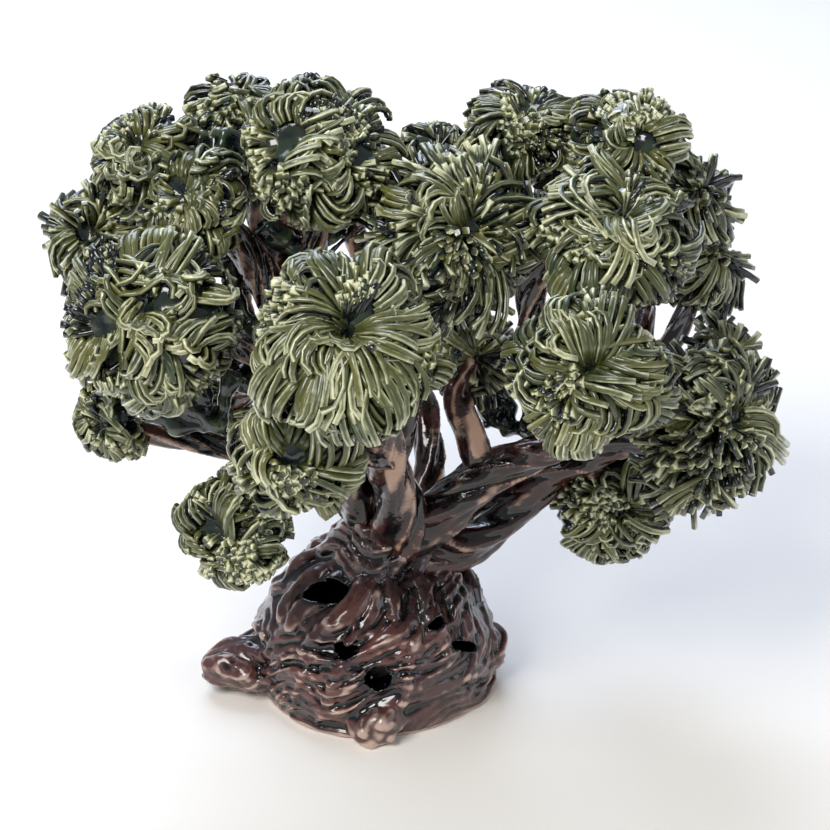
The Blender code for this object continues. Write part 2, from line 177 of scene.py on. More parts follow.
class Workshop:
    """Turns bmeshes into finished pieces that ride on the tree."""

    body = "root"

    @staticmethod
    def blank_roll(sides: int, rings: int) -> bmesh.types.BMesh:
        """An upright roll of clay, one high and one in radius, with even rings.

        Args:
            sides: Points round each ring.
            rings: Rings along the roll, both ends included.

        Returns:
            The roll, about the middle of its axis.
        """
        work = bmesh.new()
        bmesh.ops.create_cone(
            work, cap_ends=True, segments=sides, radius1=1.0, radius2=1.0, depth=1.0)
        upright = [edge for edge in work.edges if abs(edge.verts[0].co.z - edge.verts[1].co.z) > 0.5]
        bmesh.ops.subdivide_edges(work, edges=upright, cuts=rings - 2, use_grid_fill=True)
        bmesh.ops.recalc_face_normals(work, faces=work.faces)
        return work

    @staticmethod
    def repeat(work: bmesh.types.BMesh, count: int) -> None:
        """Copies a bmesh's one shape until there are as many as asked, by doubling.

        Args:
            work: The bmesh, which holds one shape.
            count: How many there are to be.
        """
        size = len(work.verts)
        made = 1
        while made < count:
            more = min(made, count - made)
            work.verts.index_update()
            limit = more * size
            verts = [vert for vert in work.verts if vert.index < limit]
            edges = [edge for edge in work.edges if edge.verts[0].index < limit]
            faces = [face for face in work.faces if face.verts[0].index < limit]
            bmesh.ops.duplicate(work, geom=verts + edges + faces)
            made += more

    @staticmethod
    def to_mesh(work: bmesh.types.BMesh, name: str) -> bpy.types.Mesh:
        """Frees a bmesh into a new mesh.

        Args:
            work: The bmesh.
            name: The mesh's name.

        Returns:
            The mesh.
        """
        mesh = bpy.data.meshes.new(name)
        work.to_mesh(mesh)
        work.free()
        return mesh

    @staticmethod
    def points_of(mesh: bpy.types.Mesh) -> np.ndarray:
        """Reads a mesh's points.

        Args:
            mesh: The mesh.

        Returns:
            Rows of x, y and z.
        """
        flat = np.empty(len(mesh.vertices) * 3)
        mesh.vertices.foreach_get("co", flat)
        return flat.reshape(-1, 3)

    @staticmethod
    def normals_of(mesh: bpy.types.Mesh) -> np.ndarray:
        """Reads which way a mesh faces at each point.

        Args:
            mesh: The mesh.

        Returns:
            Rows of x, y and z.
        """
        flat = np.empty(len(mesh.vertices) * 3, dtype=np.float32)
        mesh.vertex_normals.foreach_get("vector", flat)
        return flat.reshape(-1, 3).astype(float)

    @staticmethod
    def place_points(mesh: bpy.types.Mesh, points: np.ndarray) -> None:
        """Moves a mesh's points to the rows of an array."""
        mesh.vertices.foreach_set("co", np.ascontiguousarray(points, dtype=float).ravel())
        mesh.update()

    @staticmethod
    def paint(mesh: bpy.types.Mesh, name: str, values: np.ndarray) -> None:
        """Gives each point of a mesh a value that its glaze reads.

        Args:
            mesh: The mesh.
            name: The attribute's name.
            values: One number for each point.
        """
        layer = mesh.attributes.get(name) or mesh.attributes.new(name, "FLOAT", "POINT")
        layer.data.foreach_set("value", np.clip(values, 0.0, 1.0).astype(np.float32))

    @staticmethod
    def shade(mesh: bpy.types.Mesh, flat_sides: int = 0) -> None:
        """Smooths a mesh's shading, apart from faces of a given number of sides.

        Args:
            mesh: The mesh.
            flat_sides: Faces with this many sides stay flat, such as cut ends.
        """
        sides = np.empty(len(mesh.polygons), dtype=np.int32)
        mesh.polygons.foreach_get("loop_total", sides)
        mesh.polygons.foreach_set("use_smooth", sides != flat_sides)
        mesh.update()

    @classmethod
    def hand_over(
        cls, name: str, mesh: bpy.types.Mesh, glaze: bpy.types.Material, slot: GlazeSlot,
        nodes: tuple[str, ...] = (),
    ) -> bpy.types.Object:
        """Puts a mesh on the tree as a finished piece.

        Args:
            name: The piece's name.
            mesh: The mesh, with the piece's place in it.
            glaze: The piece's material.
            slot: The record's slot for the piece's finish; not used.
            nodes: The plain solids that the piece stands for.

        Returns:
            The piece.
        """
        piece = bpy.data.objects.new(name, mesh)
        bpy.context.scene.collection.objects.link(piece)
        mesh.materials.clear()
        mesh.materials.append(glaze)
        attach(piece, cls.body)
        if nodes:
            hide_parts(*nodes)
        LOG.info("%s: %d faces", name, len(mesh.polygons))
        return piece


class Clay:
    """Rolls of clay, and the kneading that makes them one.

    Attributes:
        spacing: The distance between the points of a smooth route, in millimetres.
    """

    spacing: ClassVar[float] = 0.9

    @staticmethod
    def scratch(work: bmesh.types.BMesh, name: str) -> bpy.types.Object:
        """Makes an object for a shape that is used and then removed.

        Args:
            work: The shape, which is freed.
            name: The object's name.

        Returns:
            The object.
        """
        made = bpy.data.objects.new(name, Workshop.to_mesh(work, name))
        bpy.context.scene.collection.objects.link(made)
        return made

    @classmethod
    def roll(cls, points: np.ndarray, radii: np.ndarray, name: str, sides: int = 12) -> bpy.types.Object:
        """A roll of clay through points.

        Args:
            points: Rows of x, y and z, in metres.
            radii: The roll's radius at each point, in metres.
            name: The object's name.
            sides: Points round the roll.

        Returns:
            The roll.
        """
        rings = len(points)
        made = cls.scratch(Workshop.blank_roll(sides, rings), name)
        pattern = Workshop.points_of(made.data)
        ring = np.rint((pattern[:, 2] + 0.5) * (rings - 1)).astype(int)
        around = np.arctan2(pattern[:, 1], pattern[:, 0])
        out, side, _ = cls.rails(points)
        spread = np.cos(around)[:, None] * out[ring] + np.sin(around)[:, None] * side[ring]
        Workshop.place_points(made.data, points[ring] + spread * radii[ring][:, None])
        return made

    @classmethod
    def route(cls, through: Route) -> np.ndarray:
        """A smooth route as closely spaced points, in metres.

        Args:
            through: The points that it goes through, in millimetres above the mound.

        Returns:
            Rows of x, y and z.
        """
        points = (np.array(through) + (0.0, 0.0, MOUND_TOP)) * MM
        ends = np.vstack([2.0 * points[0] - points[1], points, 2.0 * points[-1] - points[-2]])
        share = np.linspace(0.0, 1.0, 12, endpoint=False)[:, None]
        spans = []
        for before, start, finish, after in zip(ends, ends[1:], ends[2:], ends[3:]):
            spans.append(0.5 * (
                2.0 * start + (finish - before) * share
                + (2.0 * before - 5.0 * start + 4.0 * finish - after) * share ** 2
                + (3.0 * start - before - 3.0 * finish + after) * share ** 3))
        rows = np.vstack([*spans, points[-1:]])
        distance = np.concatenate([[0.0], np.cumsum(np.linalg.norm(np.diff(rows, axis=0), axis=1))])
        even = np.linspace(0.0, distance[-1], max(int(distance[-1] / (cls.spacing * MM)), 12))
        return np.stack([np.interp(even, distance, rows[:, axis]) for axis in range(3)], axis=1)

    @staticmethod
    def rails(points: np.ndarray) -> tuple[np.ndarray, np.ndarray, np.ndarray]:
        """Directions that run with a route without turning about it.

        Args:
            points: Rows of x, y and z along the route.

        Returns:
            Two directions square to the route, and the route's own, at each point.
        """
        along = unit(np.gradient(points, axis=0))
        lead = np.array([0.0, -0.94, 0.34])
        if abs(float(np.mean(along @ lead))) > 0.8:
            lead = np.array([0.9, 0.1, 0.42])
        out = []
        for way in along:
            lead = lead - way * float(way @ lead)
            lead = lead / np.linalg.norm(lead)
            out.append(lead)
        rows = np.array(out)
        return rows, np.cross(along, rows), along

    @classmethod
    def knead(cls, lumps: list[bpy.types.Object], voxel: float, smooth: int = 1) -> bpy.types.Mesh:
        """Presses lumps of clay into one, and works their seams smooth.

        Args:
            lumps: The lumps, which are removed.
            voxel: How fine the clay is worked, in millimetres.
            smooth: How many times the seams are wiped.

        Returns:
            The one mesh.
        """
        work = bmesh.new()
        for lump in lumps:
            work.from_mesh(lump.data)
            bpy.data.objects.remove(lump)
        joined = cls.scratch(work, "clay")
        remesh = joined.modifiers.new("knead", "REMESH")
        remesh.mode = "VOXEL"
        remesh.voxel_size = voxel * MM
        bpy.context.view_layer.update()
        graph = bpy.context.evaluated_depsgraph_get()
        mesh = bpy.data.meshes.new_from_object(joined.evaluated_get(graph))
        bpy.data.objects.remove(joined)
        work = bmesh.new()
        work.from_mesh(mesh)
        for _ in range(smooth):
            bmesh.ops.smooth_vert(
                work, verts=work.verts, factor=0.5, use_axis_x=True, use_axis_y=True, use_axis_z=True)
        work.to_mesh(mesh)
        work.free()
        return mesh

    @staticmethod
    def hollowness(mesh: bpy.types.Mesh, passes: int, scale: float = 0.55) -> np.ndarray:
        """How far each point stands out of, or sinks below, the clay round it.

        Args:
            mesh: The mesh.
            passes: How many times the clay round a point is averaged.
            scale: The height that counts as a full ridge, in millimetres.

        Returns:
            Values of about -1 in hollows to 1 on ridges.
        """
        points = Workshop.points_of(mesh)
        normals = Workshop.normals_of(mesh)
        ends = np.empty(len(mesh.edges) * 2, dtype=np.int64)
        mesh.edges.foreach_get("vertices", ends)
        first, second = ends[0::2], ends[1::2]
        shares = np.bincount(ends, minlength=len(points))[:, None]
        even = points.copy()
        for _ in range(passes):
            total = np.zeros_like(even)
            for axis in range(3):
                total[:, axis] = (
                    np.bincount(first, weights=even[second, axis], minlength=len(points))
                    + np.bincount(second, weights=even[first, axis], minlength=len(points)))
            even = total / np.maximum(shares, 1)
        out = np.sum((points - even) * normals, axis=1)
        return np.clip(out / (scale * MM), -1.0, 1.0)


class GlazeKitchen:
    """The node groups that more than one glaze uses."""

    @staticmethod
    def group(
        name: str, inputs: dict[str, tuple[str, object]], outputs: dict[str, str],
    ) -> bpy.types.NodeTree:
        """An empty node group with named sockets.

        Args:
            name: The group's name.
            inputs: Each input's socket type and value.
            outputs: Each output's socket type.

        Returns:
            The group, with its input and output nodes in it.
        """
        tree = bpy.data.node_groups.new(name, "ShaderNodeTree")
        for socket, (kind, value) in inputs.items():
            made = tree.interface.new_socket(socket, in_out="INPUT", socket_type=kind)
            made.default_value = value
        for socket, kind in outputs.items():
            tree.interface.new_socket(socket, in_out="OUTPUT", socket_type=kind)
        tree.nodes.new("NodeGroupInput")
        tree.nodes.new("NodeGroupOutput")
        return tree

    @classmethod
    def breaking_glaze(cls) -> bpy.types.NodeTree:
        """A glaze that runs thin on ridges and pools in hollows.

        Returns:
            A group from the ridge value and three colours to the glaze's colour and its thickness.
        """
        number, colour = "NodeSocketFloat", "NodeSocketColor"
        tree = cls.group(
            "breaking_glaze",
            {
                "Ridge": (number, 0.5), "Tone": (number, 0.5), "Mottle": (number, 0.3),
                "Mottle Scale": (number, 300.0), "Thin From": (number, 0.62), "Thin To": (number, 0.95),
                "Pool From": (number, 0.12), "Pool To": (number, 0.5),
                "Thin": (colour, (1.0, 1.0, 1.0, 1.0)), "Body": (colour, (0.5, 0.5, 0.5, 1.0)),
                "Warm Body": (colour, (0.5, 0.5, 0.5, 1.0)), "Pool": (colour, (0.0, 0.0, 0.0, 1.0)),
            },
            {"Color": colour, "Thickness": number})
        nodes, links = tree.nodes, tree.links
        given, out = nodes["Group Input"], nodes["Group Output"]
        place = nodes.new("ShaderNodeTexCoord")
        mottle = nodes.new("ShaderNodeTexNoise")
        mottle.inputs["Detail"].default_value = 3.0
        links.new(place.outputs["Object"], mottle.inputs["Vector"])
        links.new(given.outputs["Mottle Scale"], mottle.inputs["Scale"])
        centred = cls.sum_of(tree, "SUBTRACT", mottle.outputs["Fac"], 0.5)
        swing = cls.sum_of(tree, "MULTIPLY", centred, given.outputs["Mottle"])
        level = cls.sum_of(tree, "ADD", given.outputs["Ridge"], swing)
        body = cls.mix(tree, given.outputs["Tone"], given.outputs["Body"], given.outputs["Warm Body"])
        pooled = cls.range_of(tree, level, given.outputs["Pool From"], given.outputs["Pool To"])
        covered = cls.mix(tree, pooled, given.outputs["Pool"], body)
        bared = cls.range_of(tree, level, given.outputs["Thin From"], given.outputs["Thin To"])
        links.new(cls.mix(tree, bared, covered, given.outputs["Thin"]), out.inputs["Color"])
        links.new(cls.sum_of(tree, "SUBTRACT", 1.0, pooled), out.inputs["Thickness"])
        return tree

    @staticmethod
    def sum_of(tree: bpy.types.NodeTree, operation: str, first: object, second: object) -> object:
        """A Math node.

        Args:
            tree: The node tree.
            operation: The node's operation.
            first: A socket or a number.
            second: A socket or a number.

        Returns:
            The result's socket.
        """
        node = tree.nodes.new("ShaderNodeMath")
        node.operation = operation
        for socket, value in zip(node.inputs, (first, second)):
            if isinstance(value, bpy.types.NodeSocket):
                tree.links.new(value, socket)
            else:
                socket.default_value = value
        return node.outputs[0]

    @staticmethod
    def mix(tree: bpy.types.NodeTree, share: object, first: object, second: object) -> object:
        """A colour Mix node from sockets.

        Args:
            tree: The node tree.
            share: The factor's socket.
            first: The colour at 0.
            second: The colour at 1.

        Returns:
            The colour's socket.
        """
        node = tree.nodes.new("ShaderNodeMix")
        node.data_type = "RGBA"
        tree.links.new(share, node.inputs[0])
        tree.links.new(first, node.inputs[6])
        tree.links.new(second, node.inputs[7])
        return node.outputs[2]

    @staticmethod
    def range_of(tree: bpy.types.NodeTree, value: object, low: object, high: object) -> object:
        """A smooth rise from 0 to 1 between two sockets' values.

        Args:
            tree: The node tree.
            value: The value's socket.
            low: The socket of the value that gives 0.
            high: The socket of the value that gives 1.

        Returns:
            The result's socket.
        """
        node = tree.nodes.new("ShaderNodeMapRange")
        node.interpolation_type = "SMOOTHSTEP"
        tree.links.new(value, node.inputs["Value"])
        tree.links.new(low, node.inputs["From Min"])
        tree.links.new(high, node.inputs["From Max"])
        return node.outputs["Result"]


@dataclass(frozen=True)
class Glaze:
    """A fired glaze.

    Attributes:
        name: The material's name.
        thin: Its colour where it runs off a ridge.
        body: Its colour over most of a piece.
        warm_body: The colour that some strands or patches turn to.
        pool: Its colour where it lies thick.
        thin_at: The ridge values where it begins to thin and has thinned.
        pool_at: The ridge values where it has pooled and no longer pools.
        mottle: How much its thickness wanders.
        mottle_scale: How fine the wandering is.
        rough: The roughness where it is thin and where it is thick.
        coat: The strength of the clear gloss over it.
        pits: The height of its fine unevenness, in metres.
        pit_scale: How fine that unevenness is.
    """

    name: str
    thin: Colour
    body: Colour
    warm_body: Colour
    pool: Colour
    thin_at: tuple[float, float] = (0.62, 0.95)
    pool_at: tuple[float, float] = (0.12, 0.5)
    mottle: float = 0.3
    mottle_scale: float = 300.0
    rough: tuple[float, float] = (0.3, 0.12)
    coat: float = 0.5
    pits: float = 0.00008
    pit_scale: float = 900.0

    def fire(self, breaking: bpy.types.NodeTree) -> bpy.types.Material:
        """Makes the material.

        Args:
            breaking: The group that works out the glaze's colour.

        Returns:
            The material.
        """
        material = bpy.data.materials.new(self.name)
        material.use_nodes = True
        tree = material.node_tree
        shader = tree.nodes["Principled BSDF"]
        glaze = tree.nodes.new("ShaderNodeGroup")
        glaze.node_tree = breaking
        settings = {
            "Mottle": self.mottle, "Mottle Scale": self.mottle_scale,
            "Thin From": self.thin_at[0], "Thin To": self.thin_at[1],
            "Pool From": self.pool_at[0], "Pool To": self.pool_at[1],
            "Thin": (*self.thin, 1.0), "Body": (*self.body, 1.0),
            "Warm Body": (*self.warm_body, 1.0), "Pool": (*self.pool, 1.0),
        }
        for socket, value in settings.items():
            glaze.inputs[socket].default_value = value
        for attribute, socket in (("ridge", "Ridge"), ("tone", "Tone")):
            reader = tree.nodes.new("ShaderNodeAttribute")
            reader.attribute_name = attribute
            tree.links.new(reader.outputs["Fac"], glaze.inputs[socket])
        gloss = tree.nodes.new("ShaderNodeMapRange")
        gloss.inputs["To Min"].default_value = self.rough[0]
        gloss.inputs["To Max"].default_value = self.rough[1]
        tree.links.new(glaze.outputs["Thickness"], gloss.inputs["Value"])
        tree.links.new(gloss.outputs["Result"], shader.inputs["Roughness"])
        tree.links.new(glaze.outputs["Color"], shader.inputs["Base Color"])
        place = tree.nodes.new("ShaderNodeTexCoord")
        grain = tree.nodes.new("ShaderNodeTexNoise")
        grain.inputs["Scale"].default_value = self.pit_scale
        grain.inputs["Detail"].default_value = 2.0
        tree.links.new(place.outputs["Object"], grain.inputs["Vector"])
        bump = tree.nodes.new("ShaderNodeBump")
        bump.inputs["Strength"].default_value = 1.0
        bump.inputs["Distance"].default_value = self.pits
        tree.links.new(grain.outputs["Fac"], bump.inputs["Height"])
        tree.links.new(bump.outputs["Normal"], shader.inputs["Normal"])
        shader.inputs["Coat Weight"].default_value = self.coat
        shader.inputs["Coat Roughness"].default_value = 0.04
        shader.inputs["Coat IOR"].default_value = 1.5
        shader.inputs["IOR"].default_value = 1.5
        return material


LEAF_GLAZE = Glaze(
    "leaf_glaze", thin=(0.80, 0.81, 0.52), body=(0.027, 0.048, 0.021), warm_body=(0.140, 0.138, 0.030),
    pool=(0.002, 0.005, 0.005), thin_at=(0.60, 1.02), pool_at=(0.14, 0.54), mottle=0.30, mottle_scale=420.0)
POOL_GLAZE = Glaze(
    "leaf_pool_glaze", thin=(0.08, 0.11, 0.05), body=(0.012, 0.024, 0.022), warm_body=(0.03, 0.045, 0.02),
    pool=(0.002, 0.006, 0.009), mottle=0.5, mottle_scale=160.0, rough=(0.18, 0.08), coat=0.5)
WOOD_GLAZE = Glaze(
    "wood_glaze", thin=(0.54, 0.34, 0.24), body=(0.012, 0.004, 0.004), warm_body=(0.060, 0.015, 0.011),
    pool=(0.001, 0.001, 0.002), thin_at=(0.64, 0.98), pool_at=(0.22, 0.56), mottle=0.40, mottle_scale=170.0,
    rough=(0.26, 0.10), coat=0.55, pits=0.00012, pit_scale=420.0)
ROOT_GLAZE = Glaze(
    "root_glaze", thin=(0.54, 0.38, 0.31), body=(0.038, 0.015, 0.018), warm_body=(0.125, 0.044, 0.034),
    pool=(0.001, 0.001, 0.002), thin_at=(0.66, 1.02), pool_at=(0.16, 0.50), mottle=0.42, mottle_scale=150.0,
    rough=(0.28, 0.12), coat=0.6, pits=0.00014, pit_scale=420.0)


@dataclass(frozen=True)
class Whorl:
    """A place that strands fall away from on every side.

    Attributes:
        bearing: Degrees round the tuft's axis.
        tilt: Degrees away from the tuft's axis.
        sink: How far its middle is drawn in, as a share of the radius.
        width: How wide the drawn-in part is, in degrees.
        swirl: How far the strands turn aside, in degrees.
    """

    bearing: float = 0.0
    tilt: float = 0.0
    sink: float = 0.45
    width: float = 22.0
    swirl: float = 12.0


@dataclass(frozen=True)
class Brush:
    """A patch of upright strands.

    Attributes:
        bearing: Degrees round the tuft's axis.
        tilt: Degrees away from the tuft's axis.
        width: The patch's radius, in degrees.
        stand: How far the strands stand above the cushion, in millimetres.
    """

    bearing: float
    tilt: float
    width: float
    stand: float = 1.0


@dataclass(frozen=True)
class StrandSet:
    """The strands of one tuft, as arrays of one row for each strand.

    Attributes:
        paths: Points along each strand.
        tops: The way that is outwards at each point.
        radii: The strand's radius at each point.
        ridges: How thin the glaze is at each point.
        tones: Each strand's own tone.
    """

    paths: np.ndarray
    tops: np.ndarray
    radii: np.ndarray
    ridges: np.ndarray
    tones: np.ndarray

    def joined(self, other: "StrandSet") -> "StrandSet":
        """This set and another as one.

        Args:
            other: The other set.

        Returns:
            A set that holds the strands of both.
        """
        pairs = ("paths", "tops", "radii", "ridges", "tones")
        return StrandSet(*(np.concatenate([getattr(self, name), getattr(other, name)]) for name in pairs))


@dataclass
class Tuft:
    """A bundle of clay strands opened out over a cushion of its own glaze.

    Attributes:
        node: The plain solid that it stands for.
        bearing: Degrees from the front to the way it faces.
        lift: Degrees above the level to the way it faces.
        radius: The cushion's radius, in millimetres.
        depth: How far it goes back from its widest ring, in millimetres.
        lobes: How many lobes its edge has.
        habit: How its strands stand.
        whorls: Where its strands fall away from.
        brushes: Where its strands stand upright.
        length: The strands' length, in millimetres.
        seed: Picks its chances.
        pool: How far its glaze lies below the strands, in millimetres.
        cover: How many times over the strands would cover the cushion.
        stubble: How much of it is bristles, from 0 to about 0.5.
        ahead: How far its middle lies in front of the solid's, as a share of its depth.
        thickness: A strand's radius, in millimetres.
        square: How far a strand's corners stand out, as a share of its radius.
        rings: Rings along a strand.
        sides: Points round a strand.
        front_share: How far the cushion goes forward, as a share of its depth.
        back_share: How far it goes back, as a share of its depth.
        inset: How far the cushion lies within the tuft's own size, in millimetres.
        row: How many strands lie side by side in a lock.
        hole: The radius of the bare place in a whorl, in millimetres.
        pitch: The distance between upright strands, in millimetres.
        spray_out: How far a loose spray's odd strands stand out, in millimetres.
        finger_out: How far its fingers stand out, in millimetres.
    """

    node: str
    bearing: float
    lift: float
    radius: float
    depth: float
    lobes: int
    habit: Habit = Habit.COMBED
    whorls: tuple[Whorl, ...] = (Whorl(),)
    brushes: tuple[Brush, ...] = ()
    length: float = 17.0
    seed: int = 1
    pool: float = 1.7
    cover: float = 2.2
    stubble: float = 0.27

    ahead: ClassVar[float] = 0.14
    thickness: ClassVar[float] = 0.94
    square: ClassVar[float] = 0.24
    rings: ClassVar[int] = 6
    sides: ClassVar[int] = 8
    front_share: ClassVar[float] = 0.76
    back_share: ClassVar[float] = 0.92
    inset: ClassVar[float] = 5.0
    row: ClassVar[int] = 5
    hole: ClassVar[float] = 4.0
    pitch: ClassVar[float] = 2.0
    spray_out: ClassVar[float] = 4.0
    finger_out: ClassVar[float] = 5.0

    def __post_init__(self) -> None:
        """Works out where the tuft is from the solid's box."""
        axis = direction(self.bearing, self.lift)
        self.turn = frame_of(axis)
        self.middle = np.array(middle_of(self.node) + axis * (self.ahead * self.depth * MM))

    @staticmethod
    def way(bearing: float, tilt: float) -> np.ndarray:
        """A direction in the tuft's own frame, from degrees round its axis and away from it."""
        turn, lean = math.radians(bearing), math.radians(tilt)
        return np.array([math.sin(turn) * math.sin(lean), math.cos(turn) * math.sin(lean), math.cos(lean)])

    def reach(self, ways: np.ndarray) -> np.ndarray:
        """How far out the cushion's surface is.

        Args:
            ways: Directions in the tuft's own frame.

        Returns:
            Distances in metres, without the last axis.
        """
        cosine = np.clip(ways[..., 2], -1.0, 1.0)
        sine = np.sqrt(1.0 - cosine * cosine)
        front = np.where(cosine > 0.0, self.front_share, self.back_share) * self.depth
        power = 2.2
        flat = (sine / (self.radius - self.inset)) ** power
        distance = (flat + (np.abs(cosine) / (front - self.inset)) ** power) ** (-1.0 / power)
        around = np.arctan2(ways[..., 1], ways[..., 0])
        distance = distance * (1.0 + 0.045 * sine * np.sin(self.lobes * around + self.bearing))
        distance = distance * (1.0 + 0.085 * Grain(self.seed + 900, 0.7).at(ways))
        for whorl in self.whorls:
            cosine_to = np.clip(ways @ self.way(whorl.bearing, whorl.tilt), -1.0, 1.0)
            share = np.arccos(cosine_to) / math.radians(whorl.width)
            distance = distance * (1.0 - whorl.sink * np.exp(-share * share))
        return distance * MM

    def flow(self, ways: np.ndarray, aside: np.ndarray) -> np.ndarray:
        """The way that strands run over the cushion.

        Args:
            ways: Directions of points on the cushion.
            aside: How far each strand turns aside there, in radians.

        Returns:
            Unit vectors that lie along the cushion.
        """
        total = np.zeros_like(ways)
        turned = np.zeros(ways.shape[:-1])
        weights = np.zeros(ways.shape[:-1])
        for whorl in self.whorls:
            source = self.way(whorl.bearing, whorl.tilt)
            cosine = np.clip(ways @ source, -1.0, 1.0)
            away = unit(ways * cosine[..., None] - source)
            weight = 1.0 / (np.arccos(cosine) ** 2 + 0.03)
            total += away * weight[..., None]
            turned += weight * math.radians(whorl.swirl)
            weights += weight
        total = unit(total - ways * dot(total, ways))
        angle = (turned / weights + aside)[..., None]
        return unit(np.cos(angle) * total + np.sin(angle) * np.cross(ways, total))

    def nearest_whorl(self, ways: np.ndarray) -> np.ndarray:
        """How near each direction is to a whorl.

        Args:
            ways: Directions in the tuft's own frame.

        Returns:
            The angle in radians from each one to the nearest whorl.
        """
        sources = [self.way(whorl.bearing, whorl.tilt) for whorl in self.whorls]
        return np.min([np.arccos(np.clip(ways @ source, -1.0, 1.0)) for source in sources], axis=0)

    def seeds(self, count: int, chance: np.random.Generator) -> np.ndarray:
        """Directions spread evenly over the cushion, in no order.

        Args:
            count: How many.
            chance: The source of chances.

        Returns:
            An array of unit vectors.
        """
        index = np.arange(count) + 0.5
        height = 1.0 - 1.93 * index / count
        around = index * math.pi * (3.0 - math.sqrt(5.0))
        flat = np.sqrt(1.0 - height * height)
        ways = np.stack([flat * np.cos(around), flat * np.sin(around), height], axis=-1)
        return unit(ways + chance.normal(size=ways.shape) * 0.7 / math.sqrt(count))

    def brushed(self, ways: np.ndarray, grow: float = 1.0) -> np.ndarray:
        """Finds which directions are in a patch of upright strands.

        Args:
            ways: Directions in the tuft's own frame.
            grow: How many times wider than they are the patches count as.

        Returns:
            A yes or a no for each direction.
        """
        inside = Grain(self.seed + 45, 0.62).at(ways) > 1.0 - 2.0 * self.stubble * grow
        edge = 1.0 + 0.22 * Grain(self.seed + 40, 0.5).at(ways)
        for brush in self.brushes:
            cosine = np.clip(ways @ self.way(brush.bearing, brush.tilt), -1.0, 1.0)
            inside |= np.arccos(cosine) < math.radians(brush.width) * edge * grow
        return inside

    def laid_strands(self, chance: np.random.Generator) -> StrandSet:
        """Locks of strands that lie along the cushion side by side, one lock over another.

        Args:
            chance: The source of chances.

        Returns:
            The strands.
        """
        loose = {Habit.COMBED: 0.52, Habit.SHAGGY: 0.85, Habit.SPRAY: 0.5}[self.habit]
        area = 4.0 * math.pi * (0.62 * self.radius + 0.38 * self.depth - self.inset) ** 2 * 0.9
        count = int(area * self.cover / (2.0 * self.thickness * self.length * self.row))
        ways = self.seeds(count, chance)
        clear = self.nearest_whorl(ways) > 1.3 * self.hole * MM / self.reach(ways)
        ways = ways[clear & ~self.brushed(ways, 1.2)]
        count = len(ways)
        wide = chance.integers(self.row - 2, self.row + 3, size=count)
        lock = np.repeat(np.arange(count), wide)
        slot = np.concatenate([np.arange(number) - 0.5 * (number - 1) for number in wide])
        total = len(lock)
        wander = Grain(self.seed + 7, 0.75).at(ways) * loose + chance.normal(size=count) * loose
        heading = self.flow(ways, wander)
        reached = self.length * (1.25 if self.habit is Habit.SPRAY else 1.0)
        length = reached * chance.uniform(0.65, 1.2, size=count)[lock] * chance.uniform(0.86, 1.1, size=total)
        shift = slot * 2.02 * self.thickness * MM / self.reach(ways)[lock]
        fan = slot * chance.normal(size=count)[lock] * 0.05 + chance.normal(size=total) * 0.06
        aside = np.cross(ways, heading)
        here = unit(ways[lock] + aside[lock] * shift[:, None])
        head = self.swung(here, heading[lock], fan)
        room = np.maximum(self.nearest_whorl(here) - self.hole * MM / self.reach(here), 0.0)
        back = np.minimum(0.5 * length * MM / self.reach(here), room)
        here, head = self.onward(here, head, -back)
        curl = (chance.normal(size=count)[lock] + 0.25 * chance.normal(size=total)) * loose * 1.7
        share = np.linspace(0.0, 1.0, self.rings)
        route = [here]
        for step in range(1, self.rings):
            head = self.swung(here, head, curl / (self.rings - 1) * 2.0 * share[step])
            here, head = self.onward(here, head, length / (self.rings - 1) * MM / self.reach(here))
            route.append(here)
        route = np.stack(route, axis=1)
        level = chance.uniform(size=count)
        layer = 3.2 * level[lock] + 0.35 * chance.normal(size=total)
        rooted = -3.4 * (1.0 - share) ** 2.0
        tip_out = {Habit.COMBED: 1.5, Habit.SHAGGY: 1.6, Habit.SPRAY: 2.8}[self.habit]
        tips = (chance.normal(size=count)[lock] + 0.22 * chance.normal(size=total)) * tip_out
        if self.habit is Habit.SPRAY:
            tips = tips + 1.4 + 4.6 * (chance.uniform(size=count) > 0.68)[lock]
        bulge = chance.uniform(0.2, 1.9, size=count)[lock]
        height = (layer[:, None] + rooted + tips[:, None] * share ** 2.4
                  + bulge[:, None] * 4.0 * share * (1.0 - share)) * MM
        paths = route * (self.reach(route) + height)[..., None]
        radii = self.strand_radii(total, chance)
        exposure = 0.08 + 0.20 * level[lock][:, None] + 0.16 * share ** 1.5
        exposure = exposure + 0.05 * chance.normal(size=(total, 1))
        tones = 0.6 * chance.uniform(size=count)[lock] + 0.4 * chance.uniform(size=total)
        return StrandSet(paths, route, radii, exposure, tones)

    def strand_radii(self, count: int, chance: np.random.Generator) -> np.ndarray:
        """The radii of strands, no two of which are alike, at each of their rings."""
        radii = self.thickness * MM * chance.uniform(0.88, 1.12, size=(count, 1))
        return np.repeat(radii, self.rings, axis=1)

    @staticmethod
    def swung(here: np.ndarray, head: np.ndarray, turn: np.ndarray) -> np.ndarray:
        """Lays headings flat on the cushion and swings them aside.

        Args:
            here: The directions where the headings are.
            head: The headings.
            turn: How far each one swings, in radians.

        Returns:
            The new headings.
        """
        flat = unit(head - here * dot(head, here))
        return flat * np.cos(turn)[:, None] + np.cross(here, flat) * np.sin(turn)[:, None]

    @staticmethod
    def onward(here: np.ndarray, head: np.ndarray, stride: np.ndarray) -> tuple[np.ndarray, np.ndarray]:
        """Moves along the cushion.

        Args:
            here: Directions.
            head: The heading at each one.
            stride: How far each one goes, in radians.

        Returns:
            The directions and headings further on.
        """
        near, far = np.cos(stride)[:, None], np.sin(stride)[:, None]
        return here * near + head * far, head * near - here * far

